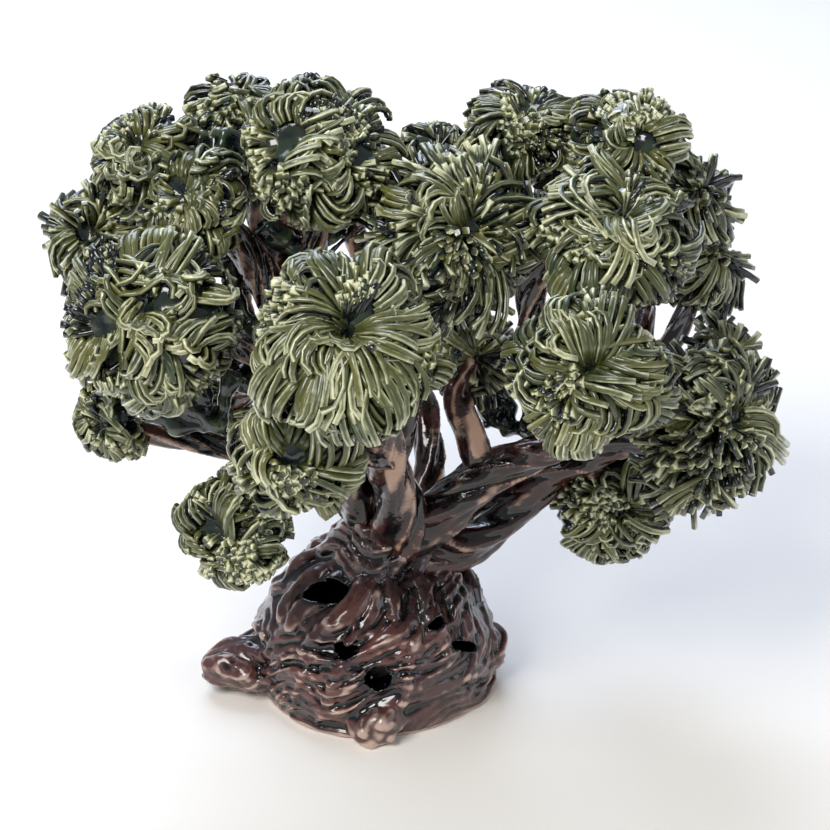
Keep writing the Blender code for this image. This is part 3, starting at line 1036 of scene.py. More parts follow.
    def upright_strands(self, chance: np.random.Generator) -> StrandSet:
        """Strands that stand out of the cushion, with their cut ends outwards.

        Args:
            chance: The source of chances.

        Returns:
            The strands.
        """
        area = 4.0 * math.pi * (0.62 * self.radius + 0.38 * self.depth) ** 2
        spray = self.habit is Habit.SPRAY
        ways = self.seeds(int(area / self.pitch ** 2), chance)
        fingers = Grain(self.seed + 33, 0.42).at(ways)
        odd = (chance.uniform(size=len(ways)) < 0.05) | (fingers > 0.62)
        ways = ways[self.brushed(ways) | (spray & odd)]
        ways = ways[self.nearest_whorl(ways) > 0.8 * self.hole * MM / self.reach(ways)]
        count = len(ways)
        stand = np.full(count, 1.0)
        for brush in self.brushes:
            near = ways @ self.way(brush.bearing, brush.tilt) > math.cos(math.radians(brush.width * 1.3))
            stand[near] = brush.stand
        lean = self.flow(ways, chance.normal(size=count) * 0.8)
        uneven = 0.9 * Grain(self.seed + 31, 0.35).at(ways)
        tip = (stand + 1.2 + uneven + chance.normal(size=count) * 0.4) * MM
        if spray:
            tip = tip + chance.uniform(0.0, 1.0, size=count) ** 2.0 * self.spray_out * MM
            tip = tip + smoothstep(0.55, 0.9, Grain(self.seed + 33, 0.42).at(ways)) * self.finger_out * MM
        share = np.linspace(0.0, 1.0, self.rings)[None, :, None]
        start = self.reach(ways) - (9.0 if spray else 7.0) * MM
        distance = start[:, None, None] + (self.reach(ways) + tip - start)[:, None, None] * share
        bend = chance.uniform(0.05, 0.5 if spray else 0.24, size=(count, 1, 1)) * share ** 1.7
        route = unit(ways[:, None, :] + lean[:, None, :] * bend)
        paths = route * distance
        radii = self.strand_radii(count, chance)
        tops = np.repeat(unit(np.cross(ways, lean))[:, None, :], self.rings, axis=1)
        exposure = np.repeat(0.10 + 0.44 * share[:, :, 0] ** 4.0, count, axis=0)
        exposure = exposure + 0.10 * chance.normal(size=(count, 1))
        return StrandSet(paths, tops, radii, exposure, chance.uniform(size=count))

    def strands(self) -> StrandSet:
        """Lays and stands all the tuft's strands.

        Returns:
            The strands, in the tuft's own frame.
        """
        chance = np.random.default_rng(self.seed)
        laid = self.laid_strands(chance)
        return laid.joined(self.upright_strands(chance))

    def strand_mesh(self) -> bpy.types.Mesh:
        """The strands as one mesh.

        Returns:
            The mesh, in the tree's frame.
        """
        placed = self.strands()
        count = len(placed.paths)
        work = Workshop.blank_roll(self.sides, self.rings)
        pattern = np.array([vert.co for vert in work.verts])
        Workshop.repeat(work, count)
        mesh = Workshop.to_mesh(work, self.node + "_strands")
        ring = np.rint((pattern[:, 2] + 0.5) * (self.rings - 1)).astype(int)
        around = np.arctan2(pattern[:, 1], pattern[:, 0])
        along = unit(np.gradient(placed.paths, axis=1))
        top = unit(placed.tops - along * dot(placed.tops, along))
        side = np.cross(along, top)
        chance = np.random.default_rng(self.seed + 5)
        turned = around[None, :] + chance.normal(size=(count, 1)) * 0.30
        square = 1.0 + self.square * np.sin(2.0 * around) ** 2
        spread = np.cos(turned)[..., None] * top[:, ring] + np.sin(turned)[..., None] * side[:, ring]
        points = placed.paths[:, ring] + spread * (placed.radii[:, ring] * square)[..., None]
        Workshop.place_points(mesh, points.reshape(-1, 3) @ self.turn.T + self.middle)
        crown = 0.5 + 0.5 * np.cos(turned)
        corner = np.sin(2.0 * around) ** 2
        ridge = placed.ridges[:, ring] + 0.78 * (crown - 0.64) + 0.34 * corner * smoothstep(0.35, 0.8, crown)
        ends = (ring == self.rings - 1)[None, :] * 0.12
        Workshop.paint(mesh, "ridge", (ridge + ends).ravel())
        Workshop.paint(mesh, "tone", np.repeat(placed.tones[:, None], len(ring), axis=1).ravel())
        Workshop.shade(mesh, flat_sides=self.sides)
        return mesh

    def cushion_mesh(self) -> bpy.types.Mesh:
        """The glaze-filled cushion under the strands.

        Returns:
            The mesh, in the tree's frame.
        """
        work = bmesh.new()
        bmesh.ops.create_icosphere(work, subdivisions=4, radius=1.0)
        mesh = Workshop.to_mesh(work, self.node + "_cushion")
        ways = unit(Workshop.points_of(mesh))
        unevenness = Grain(self.seed + 3, 0.3).at(ways)
        distance = self.reach(ways) - (self.pool + 0.7 * unevenness) * MM
        Workshop.place_points(mesh, (ways * distance[:, None]) @ self.turn.T + self.middle)
        Workshop.paint(mesh, "ridge", 0.4 + 0.3 * unevenness)
        Workshop.paint(mesh, "tone", 0.5 + 0.4 * unevenness)
        Workshop.shade(mesh)
        return mesh

    def build(self, leaf: bpy.types.Material, pool: bpy.types.Material) -> None:
        """Makes the tuft's pieces.

        Args:
            leaf: The strands' glaze.
            pool: The cushion's glaze.
        """
        Workshop.hand_over(self.node + "_cushion", self.cushion_mesh(), pool, GlazeSlot.LEAF, (self.node,))
        Workshop.hand_over(self.node + "_strands", self.strand_mesh(), leaf, GlazeSlot.LEAF)


@dataclass
class Limb:
    """A tapered roll of clay with furrowed bark.

    Attributes:
        node: The plain solid that it stands for.
        thick: Its radius at the root, in millimetres.
        tip: Its radius at the end, in millimetres.
        route: Points along it, in millimetres above the top of the mound.
        ribbons: How many strips of clay are wound along it.
        twist: How far the strips wind, in turns for each 100 mm.
        bare: The way its bare planed face looks, as a bearing, where it has one.
        webs: The routes of thinner strips that run beside it.
        seed: Picks its furrows.
        voxel: How fine the clay is worked, in millimetres.
        stout: A root radius above which a limb flares, in millimetres.
    """

    node: str
    thick: float
    tip: float
    route: Route
    ribbons: int = 3
    twist: float = 1.1
    bare: float | None = None
    webs: tuple[Route, ...] = ()
    seed: int = 5

    voxel: ClassVar[float] = 0.6
    stout: ClassVar[float] = 6.5

    def rolls(self, route: np.ndarray) -> list[bpy.types.Object]:
        """The core and the strips of clay wound along it.

        Args:
            route: Closely spaced points along the limb.

        Returns:
            The rolls.
        """
        chance = np.random.default_rng(self.seed)
        share = np.linspace(0.0, 1.0, len(route))
        flare = 1.0 + 0.30 * (1.0 - smoothstep(0.0, 0.45, share)) * (self.thick > self.stout)
        radius = (self.thick + (self.tip - self.thick) * share) * flare * MM
        radius[-1] *= 0.7
        out, side, _ = Clay.rails(route)
        made = [Clay.roll(route, radius * 0.80, "core")]
        for number in range(self.ribbons):
            phase = 2.0 * math.pi * (number + chance.uniform(-0.2, 0.2)) / self.ribbons
            turns = self.twist * chance.uniform(0.6, 1.3) * len(route) * Clay.spacing / 100.0
            angle = phase + turns * 2.0 * math.pi * share
            angle = angle + 0.35 * np.sin(share * chance.uniform(5.0, 11.0) + number)
            width = radius * chance.uniform(0.36, 0.56)
            width = width * (1.0 + 0.2 * np.sin(share * chance.uniform(8.0, 16.0)))
            lift = radius * 1.06 - width
            place = route + out * (np.cos(angle) * lift)[:, None] + side * (np.sin(angle) * lift)[:, None]
            made.append(Clay.roll(place, width, "ribbon_%d" % number, sides=10))
        for web in self.webs:
            beside = Clay.route(web)
            swell = 2.6 + 0.9 * np.sin(np.linspace(0.0, 9.0, len(beside)))
            made.append(Clay.roll(beside, swell * MM, "web", sides=10))
        return made

    def build(self, glaze: bpy.types.Material) -> None:
        """Makes the limb.

        Args:
            glaze: Its glaze.
        """
        route = Clay.route(self.route)
        mesh = Clay.knead(self.rolls(route), self.voxel)
        points, normals = Workshop.points_of(mesh), Workshop.normals_of(mesh)
        apart = np.sum(points ** 2, axis=1)[:, None] - 2.0 * points @ route.T + np.sum(route ** 2, axis=1)
        nearest = np.argmin(apart, axis=1)
        share = nearest / (len(route) - 1)
        out, side, _ = Clay.rails(route)
        away = unit(points - route[nearest])
        angle = np.arctan2(np.sum(away * side[nearest], axis=1), np.sum(away * out[nearest], axis=1))
        angle = angle - self.twist * share * len(route) * Clay.spacing / 100.0 * 2.0 * math.pi
        winding = np.stack([np.cos(angle) * 2.0, np.sin(angle) * 2.0, nearest * Clay.spacing * 0.06], axis=-1)
        fine = Grain(self.seed + 60, 1.5).at(winding)
        grooves = 1.0 - 2.0 * np.abs(Grain(self.seed + 70, 2.1).at(winding))
        depth = self.thick * 0.055 * MM
        rough = Grain(self.seed + 80, 3.0).at(points / MM)
        lift = depth * (1.2 * grooves + 0.7 * fine + 0.25 * rough)
        bareness = np.zeros(len(points))
        if self.bare is not None:
            looks = np.array(direction(self.bare, 8.0))
            bareness = smoothstep(0.5, 0.8, away @ looks + 0.10 * fine)
            bareness = bareness * smoothstep(0.12, 0.24, share) * (1.0 - smoothstep(0.50, 0.62, share))
            level = np.sum((points - route[nearest]) * looks, axis=1)
            flat = self.thick * 0.72 * MM
            lift = lift * (1.0 - 0.7 * bareness) - np.maximum(level - flat, 0.0) * bareness
        Workshop.place_points(mesh, points + normals * lift[:, None])
        hollow = Clay.hollowness(mesh, 6, 0.4)
        ridge = 0.38 + 0.10 * grooves + 0.12 * fine + 0.08 * rough + 0.48 * hollow
        ridge = np.maximum(ridge, bareness * (0.86 + 0.20 * fine))
        Workshop.paint(mesh, "ridge", ridge)
        Workshop.paint(mesh, "tone", 0.5 + 0.6 * Grain(self.seed + 5, 0.02).at(points))
        Workshop.shade(mesh)
        Workshop.hand_over(self.node + "_bark", mesh, glaze, GlazeSlot.WOOD, (self.node,))


@dataclass
class GlazeWeb:
    """A curtain of thick glaze that ran between tufts and set there.

    Attributes:
        name: The piece's name.
        strips: The routes that it ran down, in millimetres above the top of the mound.
        thick: Its half thickness, in millimetres.
        seed: Picks its unevenness.
    """

    name: str
    strips: tuple[Route, ...]
    thick: float = 3.6
    seed: int = 301

    def build(self, glaze: bpy.types.Material) -> None:
        """Makes the web.

        Args:
            glaze: Its glaze.
        """
        rolls = []
        for number, strip in enumerate(self.strips):
            route = Clay.route(strip)
            swell = self.thick * (0.85 + 0.25 * np.sin(np.linspace(0.0, 6.0 + number, len(route)) + number))
            rolls.append(Clay.roll(route, swell * MM, "strip", sides=10))
        mesh = Clay.knead(rolls, 0.7, smooth=5)
        points, normals = Workshop.points_of(mesh), Workshop.normals_of(mesh)
        uneven = Grain(self.seed, 4.5).at(points / MM)
        Workshop.place_points(mesh, points + normals * (0.7 * uneven * MM)[:, None])
        Workshop.paint(mesh, "ridge", 0.34 + 0.22 * uneven + 0.3 * Clay.hollowness(mesh, 6, 0.5))
        Workshop.paint(mesh, "tone", 0.5 + 0.5 * Grain(self.seed + 1, 9.0).at(points / MM))
        Workshop.shade(mesh)
        Workshop.hand_over(self.name, mesh, glaze, GlazeSlot.LEAF)


@dataclass(frozen=True)
class Toe:
    """A knuckled root lump on the mound's flank, in degrees and millimetres.

    Attributes:
        bearing: The way that it leaves the mound.
        height: Where it leaves.
        reach: How far it stands out of the mound.
        thick: Its radius at its root.
        tip: Its radius at its end.
    """

    bearing: float
    height: float
    reach: float
    thick: float
    tip: float


@dataclass(frozen=True)
class Knot:
    """A knot hole through the mound's wall, in degrees and millimetres.

    Attributes:
        bearing: Where it is round the mound.
        height: How high it is.
        lift: How far its axis leans up.
        width: Its longer side.
        tall: Its shorter side.
        tilt: How far its longer side is turned from the level.
    """

    bearing: float
    height: float
    lift: float
    width: float
    tall: float
    tilt: float


TOES = (
    Toe(-80.0, 10.0, 20.5, 12.5, 4.6), Toe(2.0, 6.5, 9.0, 9.5, 6.0), Toe(84.0, 16.0, 7.0, 8.5, 5.5),
    Toe(176.0, 8.0, 12.0, 10.0, 5.0),
)
KNOTS = (
    Knot(2.0, 21.0, 0.0, 10.0, 7.5, 0.0), Knot(-14.0, 29.0, 6.0, 7.0, 4.5, 0.0),
    Knot(50.0, 25.0, 0.0, 11.0, 3.4, -24.0), Knot(38.0, 33.5, 18.0, 8.0, 4.0, 16.0),
    Knot(-38.0, 39.5, 46.0, 15.5, 8.5, 30.0), Knot(150.0, 16.0, 0.0, 10.0, 6.0, 0.0),
    Knot(-136.0, 24.0, 0.0, 8.0, 5.0, 25.0),
)


@dataclass
class RootMass:
    """The hollow mound of twisted roots, with its toes and the trunk grown out of it.

    Attributes:
        nodes: The plain solids that it stands for.
        wall: The mound's wall, in millimetres.
        voxel: How fine the clay is worked, in millimetres.
        seed: Picks the roots' chances.
        relief: How far the roots stand out of the turned mound, in millimetres.
        broad_ropes: How many of the roots are broad.
        ropes: How many roots there are.
        folds: How many folds run down the trunk.
        toe_root: How deep in the mound a toe starts, in millimetres.
    """

    nodes: tuple[str, ...] = (
        "root_mound", "trunk", "left_root_toe", "front_root_toe", "right_root_toe", "rear_root_toe")
    wall: float = 6.0
    voxel: float = 0.62
    seed: int = 11
    relief: float = 1.2
    broad_ropes: int = 26
    ropes: int = 60
    folds: int = 18
    toe_root: float = 8.0

    def __post_init__(self) -> None:
        """Reads the mound's place and size from its box."""
        low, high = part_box("root_mound")
        self.centre = Vector(((low[0] + high[0]) / 2.0, (low[1] + high[1]) / 2.0, 0.0))
        self.belly = (high[0] - low[0]) / 2.0 / MM - self.relief
        self.top = high[2] / MM
        self.middle = np.array(self.centre)

    def outline(self) -> np.ndarray:
        """Draws the mound's outside, from the middle of its top to its foot.

        Returns:
            Rows of radius and height, in millimetres.
        """
        belly, top = self.belly, self.top
        return np.array([
            (0.0, top), (0.56 * belly, 0.96 * top), (0.82 * belly, 0.74 * top), (0.955 * belly, 0.5 * top),
            (0.985 * belly, 0.28 * top), (0.965 * belly, 0.07 * top), (0.945 * belly, 0.0)])

    def radius_at(self, height: float) -> float:
        """The mound's radius at a height, both in millimetres."""
        outline = self.outline()[::-1]
        return float(np.interp(height, outline[:, 1], outline[:, 0]))

    def turned_solid(self, outline: np.ndarray, name: str) -> bpy.types.Object:
        """A solid turned about the mound's axis.

        Args:
            outline: Rows of radius and height in millimetres, from the top's middle to the foot.
            name: The object's name.

        Returns:
            The solid.
        """
        work = bmesh.new()
        path = [work.verts.new((radius * MM, 0.0, height * MM)) for radius, height in outline]
        path.append(work.verts.new((0.0, 0.0, outline[-1, 1] * MM)))
        edges = [work.edges.new(pair) for pair in zip(path, path[1:])]
        bmesh.ops.spin(
            work, geom=path + edges, cent=(0.0, 0.0, 0.0), axis=(0.0, 0.0, 1.0), angle=2.0 * math.pi,
            steps=48, use_merge=True)
        bmesh.ops.remove_doubles(work, verts=work.verts, dist=0.02 * MM)
        bmesh.ops.recalc_face_normals(work, faces=work.faces)
        bmesh.ops.translate(work, verts=work.verts, vec=self.centre)
        return Clay.scratch(work, name)

    def on_mound(self, bearings: np.ndarray, heights: np.ndarray, proud: float) -> np.ndarray:
        """Points on the mound's outside.

        Args:
            bearings: Degrees round from the front.
            heights: Heights in millimetres.
            proud: How far out of the surface the points are, in millimetres.

        Returns:
            Rows of x, y and z, in metres.
        """
        radii = np.array([self.radius_at(height) for height in heights]) + proud
        turn = np.radians(bearings)
        rows = np.stack([np.sin(turn) * radii, -np.cos(turn) * radii, heights], axis=1) * MM
        return rows + self.middle

    def root_ropes(self) -> list[bpy.types.Object]:
        """The twisted roots that wrap round the mound and climb into the trunk.

        Returns:
            The rolls.
        """
        chance = np.random.default_rng(self.seed)
        made = []
        share = np.linspace(0.0, 1.0, 26)
        for number in range(self.ropes):
            fine = number >= self.broad_ropes
            sweep = chance.uniform(25.0, 60.0) if fine else chance.uniform(60.0, 125.0)
            foot = chance.uniform(-2.0, (0.75 if fine else 0.55) * self.top)
            climb = (chance.uniform(4.0, 20.0) if fine else chance.uniform(8.0, 30.0)) * sweep / 80.0
            wave = chance.uniform(0.6, 2.6) * np.sin(share * chance.uniform(3.0, 8.0) + number)
            heights = np.clip(foot + climb * share ** 1.2 + wave, 1.4, 0.97 * self.top)
            thick = chance.uniform(0.9, 2.0) if fine else chance.uniform(2.2, 4.2)
            radii = thick * (0.3 + 0.7 * np.sin(math.pi * np.clip(share, 0.04, 0.96)) ** 0.6) * MM
            radii = radii * (1.0 + 0.14 * np.sin(share * chance.uniform(6.0, 15.0)))
            start = chance.uniform(-180.0, 180.0)
            if number % 4 == 3 or (number % 2 == 1 and 20.0 < start < 100.0):
                heights = np.clip(chance.uniform(2.0, 10.0) + 34.0 * share + wave, 1.4, 0.97 * self.top)
                sweep = 0.42 * sweep
            bearings = start + sweep * share
            proud = 0.4 if fine else -0.68 * thick
            made.append(Clay.roll(self.on_mound(bearings, heights, proud), radii, "rope_%d" % number, 10))
        return made

    def trunk_folds(self) -> list[bpy.types.Object]:
        """The trunk, and the folds that run down it on to the mound.

        Returns:
            The rolls.
        """
        chance = np.random.default_rng(self.seed + 1)
        low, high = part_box("trunk")
        base = np.array([(low[0] + high[0]) / 2.0, (low[1] + high[1]) / 2.0, self.top * MM])
        tip = np.array([(low[0] + high[0]) / 2.0 + 2.0 * MM, (low[1] + high[1]) / 2.0, high[2]])
        share = np.linspace(0.0, 1.0, 14)[:, None]
        spine = base + (tip - base) * share + np.array([0.0, 0.0, -8.0 * MM]) * (1.0 - share)
        wide = (high[0] - low[0]) / 2.0
        made = [Clay.roll(spine, wide * (0.80 - 0.28 * share[:, 0] ** 0.8), "trunk_core")]
        for number in range(self.folds):
            bearing = 360.0 * number / self.folds + chance.uniform(-7.0, 7.0)
            turn = math.radians(bearing)
            out = np.array([math.sin(turn), -math.cos(turn), 0.0])
            steps = np.linspace(0.0, 1.0, 18)
            lower = chance.uniform(22.0, 34.0)
            path = []
            for step in steps:
                height = lower + (high[2] / MM - 1.0 - lower) * step
                swing = math.radians(26.0 * (step - 0.3) + 7.0 * math.sin(step * 7.0 + number))
                turned = np.array([
                    out[0] * math.cos(swing) - out[1] * math.sin(swing),
                    out[0] * math.sin(swing) + out[1] * math.cos(swing), 0.0])
                on_mound = self.radius_at(height) * 0.96 if height < self.top * 0.98 else 0.0
                on_trunk = wide / MM * (0.86 - 0.34 * step)
                blend = float(smoothstep(0.3, 0.95, np.array(step)))
                radius = on_mound * (1.0 - blend) + on_trunk * blend if on_mound else on_trunk
                centre = self.middle * (1.0 - blend) + base * (1.0, 1.0, 0.0) * blend
                level = np.array([0.0, 0.0, height * MM])
                path.append(centre * (1.0, 1.0, 0.0) + turned * radius * MM + level)
            thick = chance.uniform(2.6, 4.6)
            radii = thick * (0.4 + 0.6 * np.sin(math.pi * np.clip(steps, 0.08, 0.9)) ** 0.5) * MM
            made.append(Clay.roll(np.array(path), radii, "fold_%d" % number))
        return made

    def toes(self) -> list[bpy.types.Object]:
        """The knuckled root lumps on the mound's flank.

        Returns:
            The rolls.
        """
        made = []
        share = np.linspace(0.0, 1.0, 16)
        for toe in TOES:
            turn = math.radians(toe.bearing)
            away = np.array([math.sin(turn), -math.cos(turn), 0.0])
            side = np.array([math.cos(turn), math.sin(turn), 0.0])
            rooted = self.radius_at(toe.height) - self.toe_root
            radii = toe.thick + (toe.tip - toe.thick) * share ** 1.8
            out = rooted + (toe.reach + self.toe_root - 0.6 * toe.tip) * share
            level = np.maximum(toe.height - 0.25 * toe.height * share, 0.75 * radii)
            spine = self.middle + away * (out * MM)[:, None]
            spine[:, 2] = level * MM
            nose = np.sqrt(np.clip(1.0 - ((share - 0.86) / 0.2) ** 2, 0.12, 1.0))
            rounding = np.where(share > 0.86, nose, 1.0)
            made.append(Clay.roll(spine, radii * 0.82 * rounding * MM, "toe_core"))
            for number in range(6):
                swing = number * math.pi / 3.0 + 2.6 * share + 0.5 * math.sin(number * 5.0)
                wave = radii * rounding * (0.74 + 0.10 * np.sin(share * 7.0 + number * 2.0)) * MM
                strip = spine + side * (np.cos(swing) * wave)[:, None]
                strip[:, 2] = np.maximum(strip[:, 2] + np.sin(swing) * wave, 1.2 * MM)
                thin = 0.20 + 0.07 * (number % 3)
                made.append(Clay.roll(strip, radii * rounding * thin * MM, "toe_fold"))
        return made

    def furrow(self, mesh: bpy.types.Mesh) -> None:
        """Draws fine furrows over the roots, along their run, and marks where the glaze breaks.

        Args:
            mesh: The kneaded clay.
        """
        points = Workshop.points_of(mesh)
        normals = Workshop.normals_of(mesh)
        rows = (points - self.middle) / MM
        turn = np.arctan2(rows[:, 0], -rows[:, 1])
        radius = np.maximum(np.hypot(rows[:, 0], rows[:, 1]), 6.0)
        height = rows[:, 2] + 5.0 * Grain(self.seed + 2, 26.0).at(rows)
        climbing = height - 13.0 * np.sin(turn) * (radius / 36.0)
        run = np.stack([np.sin(turn) * radius * 0.22, np.cos(turn) * radius * 0.22, climbing * 1.1], axis=1)
        broad = 1.0 - 2.0 * np.abs(Grain(self.seed + 3, 6.0).at(run))
        fine = Grain(self.seed + 4, 2.8).at(run)
        rough = Grain(self.seed + 8, 2.6).at(rows)
        lift = 0.42 * broad + 0.24 * fine + 0.10 * rough
        foot = smoothstep(0.4, 4.5, rows[:, 2])
        moved = points + normals * (lift * foot * MM)[:, None]
        moved[:, 2] = np.maximum(moved[:, 2], 0.0)
        Workshop.place_points(mesh, moved)
        hollow = Clay.hollowness(mesh, 9, 0.6)
        ridge = 0.41 + 0.08 * broad + 0.10 * fine + 0.08 * rough + 0.44 * hollow
        shell = np.interp(rows[:, 2], self.outline()[::-1, 1], self.outline()[::-1, 0])
        proud = np.hypot(rows[:, 0], rows[:, 1]) - shell
        ridge = ridge + 0.14 * smoothstep(3.5, 7.0, proud) * (rows[:, 2] < 30.0)
        ridge = ridge + 0.10 * (1.0 - smoothstep(0.25, 0.4, np.abs(turn))) * (rows[:, 2] < 16.0)
        ridge = ridge + (1.0 - smoothstep(0.3, 2.0, moved[:, 2] / MM)) * 0.7
        Workshop.paint(mesh, "ridge", ridge)
        Workshop.paint(mesh, "tone", 0.5 + 0.5 * Grain(self.seed + 5, 17.0).at(rows))

    def hollow_out(self, mesh: bpy.types.Mesh) -> tuple[bpy.types.Mesh, list[KnotPlace]]:
        """Scoops the mound's inside and pushes its knot holes through.

        Args:
            mesh: The kneaded clay.

        Returns:
            The hollow clay, and each knot hole's middle, turn and half sizes.
        """
        shell = bpy.data.objects.new("root_shell", mesh)
        bpy.context.scene.collection.objects.link(shell)
        scoop = self.outline().copy()
        scoop[:, 0] = np.maximum(scoop[:, 0] - self.wall - 0.6, 0.0)
        scoop[:, 1] = np.maximum(scoop[:, 1] - self.wall, 0.0)
        scoop[-1] = (scoop[-1, 0], -4.0)
        cutters = [self.turned_solid(scoop, "scoop")]
        knots = []
        for knot in KNOTS:
            cutter, place = self.knot_cutter(knot)
            cutters.append(cutter)
            knots.append(place)
        for cutter in cutters:
            modifier = shell.modifiers.new(cutter.name, "BOOLEAN")
            modifier.operation = "DIFFERENCE"
            modifier.solver = "EXACT"
            modifier.object = cutter
        bpy.context.view_layer.update()
        graph = bpy.context.evaluated_depsgraph_get()
        shaped = bpy.data.meshes.new_from_object(shell.evaluated_get(graph))
        for cutter in (*cutters, shell):
            bpy.data.objects.remove(cutter)
        return shaped, knots

    def knot_cutter(self, knot: Knot) -> tuple[bpy.types.Object, KnotPlace]:
        """Shapes a ragged plug that is pushed through the wall to leave a knot hole.

        Args:
            knot: The hole.

        Returns:
            The plug, and its middle, turn and half sizes.
        """
        work = bmesh.new()
        bmesh.ops.create_icosphere(work, subdivisions=3, radius=1.0)
        axis = direction(knot.bearing, knot.lift)
        turn = Matrix(frame_of(axis).tolist()) @ Matrix.Rotation(math.radians(knot.tilt), 3, "Z")
        radius = self.radius_at(knot.height) - self.wall / 2.0
        turned = math.radians(knot.bearing)
        place = self.centre + Vector((
            math.sin(turned) * radius * MM, -math.cos(turned) * radius * MM, knot.height * MM))
        half = np.array((0.5 * knot.width, 0.5 * knot.tall, 2.1 * self.wall)) * MM
        ragged = 1.0 + 0.16 * Grain(int(knot.height), 1.6).at(np.array([vert.co for vert in work.verts]))
        for vert, swell in zip(work.verts, ragged):
            vert.co.xy = vert.co.xy * swell
        bmesh.ops.scale(work, verts=work.verts, vec=half)
        bmesh.ops.rotate(work, verts=work.verts, cent=(0.0, 0.0, 0.0), matrix=turn)
        bmesh.ops.translate(work, verts=work.verts, vec=place)
        return Clay.scratch(work, "knot"), (np.array(place), np.array(turn), half)

    def paint_recess_shade(self, mesh: bpy.types.Mesh, knots: list[KnotPlace]) -> None:
        """Paints shade into the mound's inside and its knot holes, by setting their glaze to its pooled,
        nearly black colour.

        Args:
            mesh: The hollow mound.
            knots: Each knot hole's middle, its turn and its half sizes.
        """
        points = Workshop.points_of(mesh)
        rows = points - self.middle
        height = rows[:, 2] / MM
        shell = np.interp(height, self.outline()[::-1, 1], self.outline()[::-1, 0])
        deep = np.minimum(shell - np.hypot(rows[:, 0], rows[:, 1]) / MM, (self.top - height) * 1.2)
        # Painted shade: the hollow's inside and the knot holes take the pooled glaze colour, standing in for
        # the shade in these recesses.
        recess_shade = smoothstep(2.6, 4.6, deep) * smoothstep(1.0, 4.0, height)
        for place, turn, half in knots:
            off = np.linalg.norm((points - place) @ turn / half, axis=1)
            recess_shade = np.maximum(recess_shade, 1.0 - smoothstep(1.10, 1.3, off))
        ridge = np.empty(len(rows), dtype=np.float32)
        mesh.attributes["ridge"].data.foreach_get("value", ridge)
        Workshop.paint(mesh, "ridge", ridge * (1.0 - recess_shade))

    def build(self, glaze: bpy.types.Material) -> None:
        """Makes the mound, its toes and the trunk as one piece of worked clay.

        Args:
            glaze: Its glaze.
        """
        solid = self.turned_solid(self.outline(), "mound_clay")
        mesh = Clay.knead([solid, *self.root_ropes(), *self.trunk_folds(), *self.toes()], self.voxel)
        mesh, knots = self.hollow_out(mesh)
        self.furrow(mesh)
        # Paints shade into the hollow's inside and the knot holes.
        self.paint_recess_shade(mesh, knots)
        Workshop.shade(mesh)
        mesh.name = "root_mass"
        Workshop.hand_over("root_mass", mesh, glaze, GlazeSlot.ROOT, self.nodes)


@dataclass
class Studio:
    """The floor, the soft lights and the camera.

    Attributes:
        lift: The camera's height above the level, in degrees.
        distance: The camera's distance from its target, in metres.
        target: What the camera looks at.
        lens: The lens's focal length, in millimetres.
    """

    lift: float = 25.0
    distance: float = 0.70
    target: Point = (0.0, 0.0, 0.094)
    lens: float = 97.93

    def floor(self) -> None:
        """Lays the pale floor."""
        work = bmesh.new()
        bmesh.ops.create_grid(work, x_segments=2, y_segments=2, size=4.0)
        made = bpy.data.objects.new("floor", Workshop.to_mesh(work, "floor"))
        bpy.context.scene.collection.objects.link(made)
        paper = bpy.data.materials.new("floor_paper")
        paper.use_nodes = True
        shader = paper.node_tree.nodes["Principled BSDF"]
        shader.inputs["Base Color"].default_value = (0.98, 0.945, 0.885, 1.0)
        shader.inputs["Roughness"].default_value = 0.9
        made.data.materials.append(paper)

    def lamp(self, name: str, place: Point, size: float, power: float, colour: Colour) -> None:
        """Hangs a soft square lamp that looks at the tree.

        Args:
            name: The lamp's name.
            place: Where it hangs, in metres.
            size: Its side, in metres.
            power: Its power, in watts.
            colour: Its colour.
        """
        data = bpy.data.lights.new(name, "AREA")
        data.size = size
        data.energy = power
        data.color = colour
        made = bpy.data.objects.new(name, data)
        made.location = place
        made.rotation_euler = (Vector(self.target) - Vector(place)).to_track_quat("-Z", "Y").to_euler()
        bpy.context.scene.collection.objects.link(made)

    def build(self) -> None:
        """Sets the floor, the lights, the surroundings and the camera."""
        self.floor()
        self.lamp("sky_window", (-0.25, 0.85, 1.15), 1.0, 17.0, (0.70, 0.79, 1.0))
        self.lamp("key", (-0.55, -0.80, 1.10), 0.6, 13.5, (1.0, 0.98, 0.95))
        self.lamp("fill", (1.0, -0.55, 0.55), 0.7, 2.0, (0.88, 0.93, 1.0))
        world = bpy.data.worlds.new("studio")
        world.use_nodes = True
        world.node_tree.nodes["Background"].inputs["Color"].default_value = (0.90, 0.94, 1.0, 1.0)
        world.node_tree.nodes["Background"].inputs["Strength"].default_value = 0.32
        bpy.context.scene.world = world
        bpy.context.scene.view_settings.view_transform = "Standard"
        data = bpy.data.cameras.new("camera")
        data.lens = self.lens
        data.sensor_width = 36.0
        data.clip_start = 0.01
        camera = bpy.data.objects.new("camera", data)
        camera.location = Vector(self.target) + direction(0.0, self.lift) * self.distance
        camera.rotation_euler = (-direction(0.0, self.lift)).to_track_quat("-Z", "Y").to_euler()
        bpy.context.scene.collection.objects.link(camera)
        bpy.context.scene.camera = camera


def numbered(first: int, pieces: tuple[Limb | Tuft, ...]) -> tuple[Limb | Tuft, ...]:
    """Gives pieces their seeds in order, so that each has its own chances.

    Args:
        first: The first piece's seed.
        pieces: Limbs or tufts.

    Returns:
        The same pieces.
    """
    for number, piece in enumerate(pieces):
        piece.seed = first + number
    return pieces


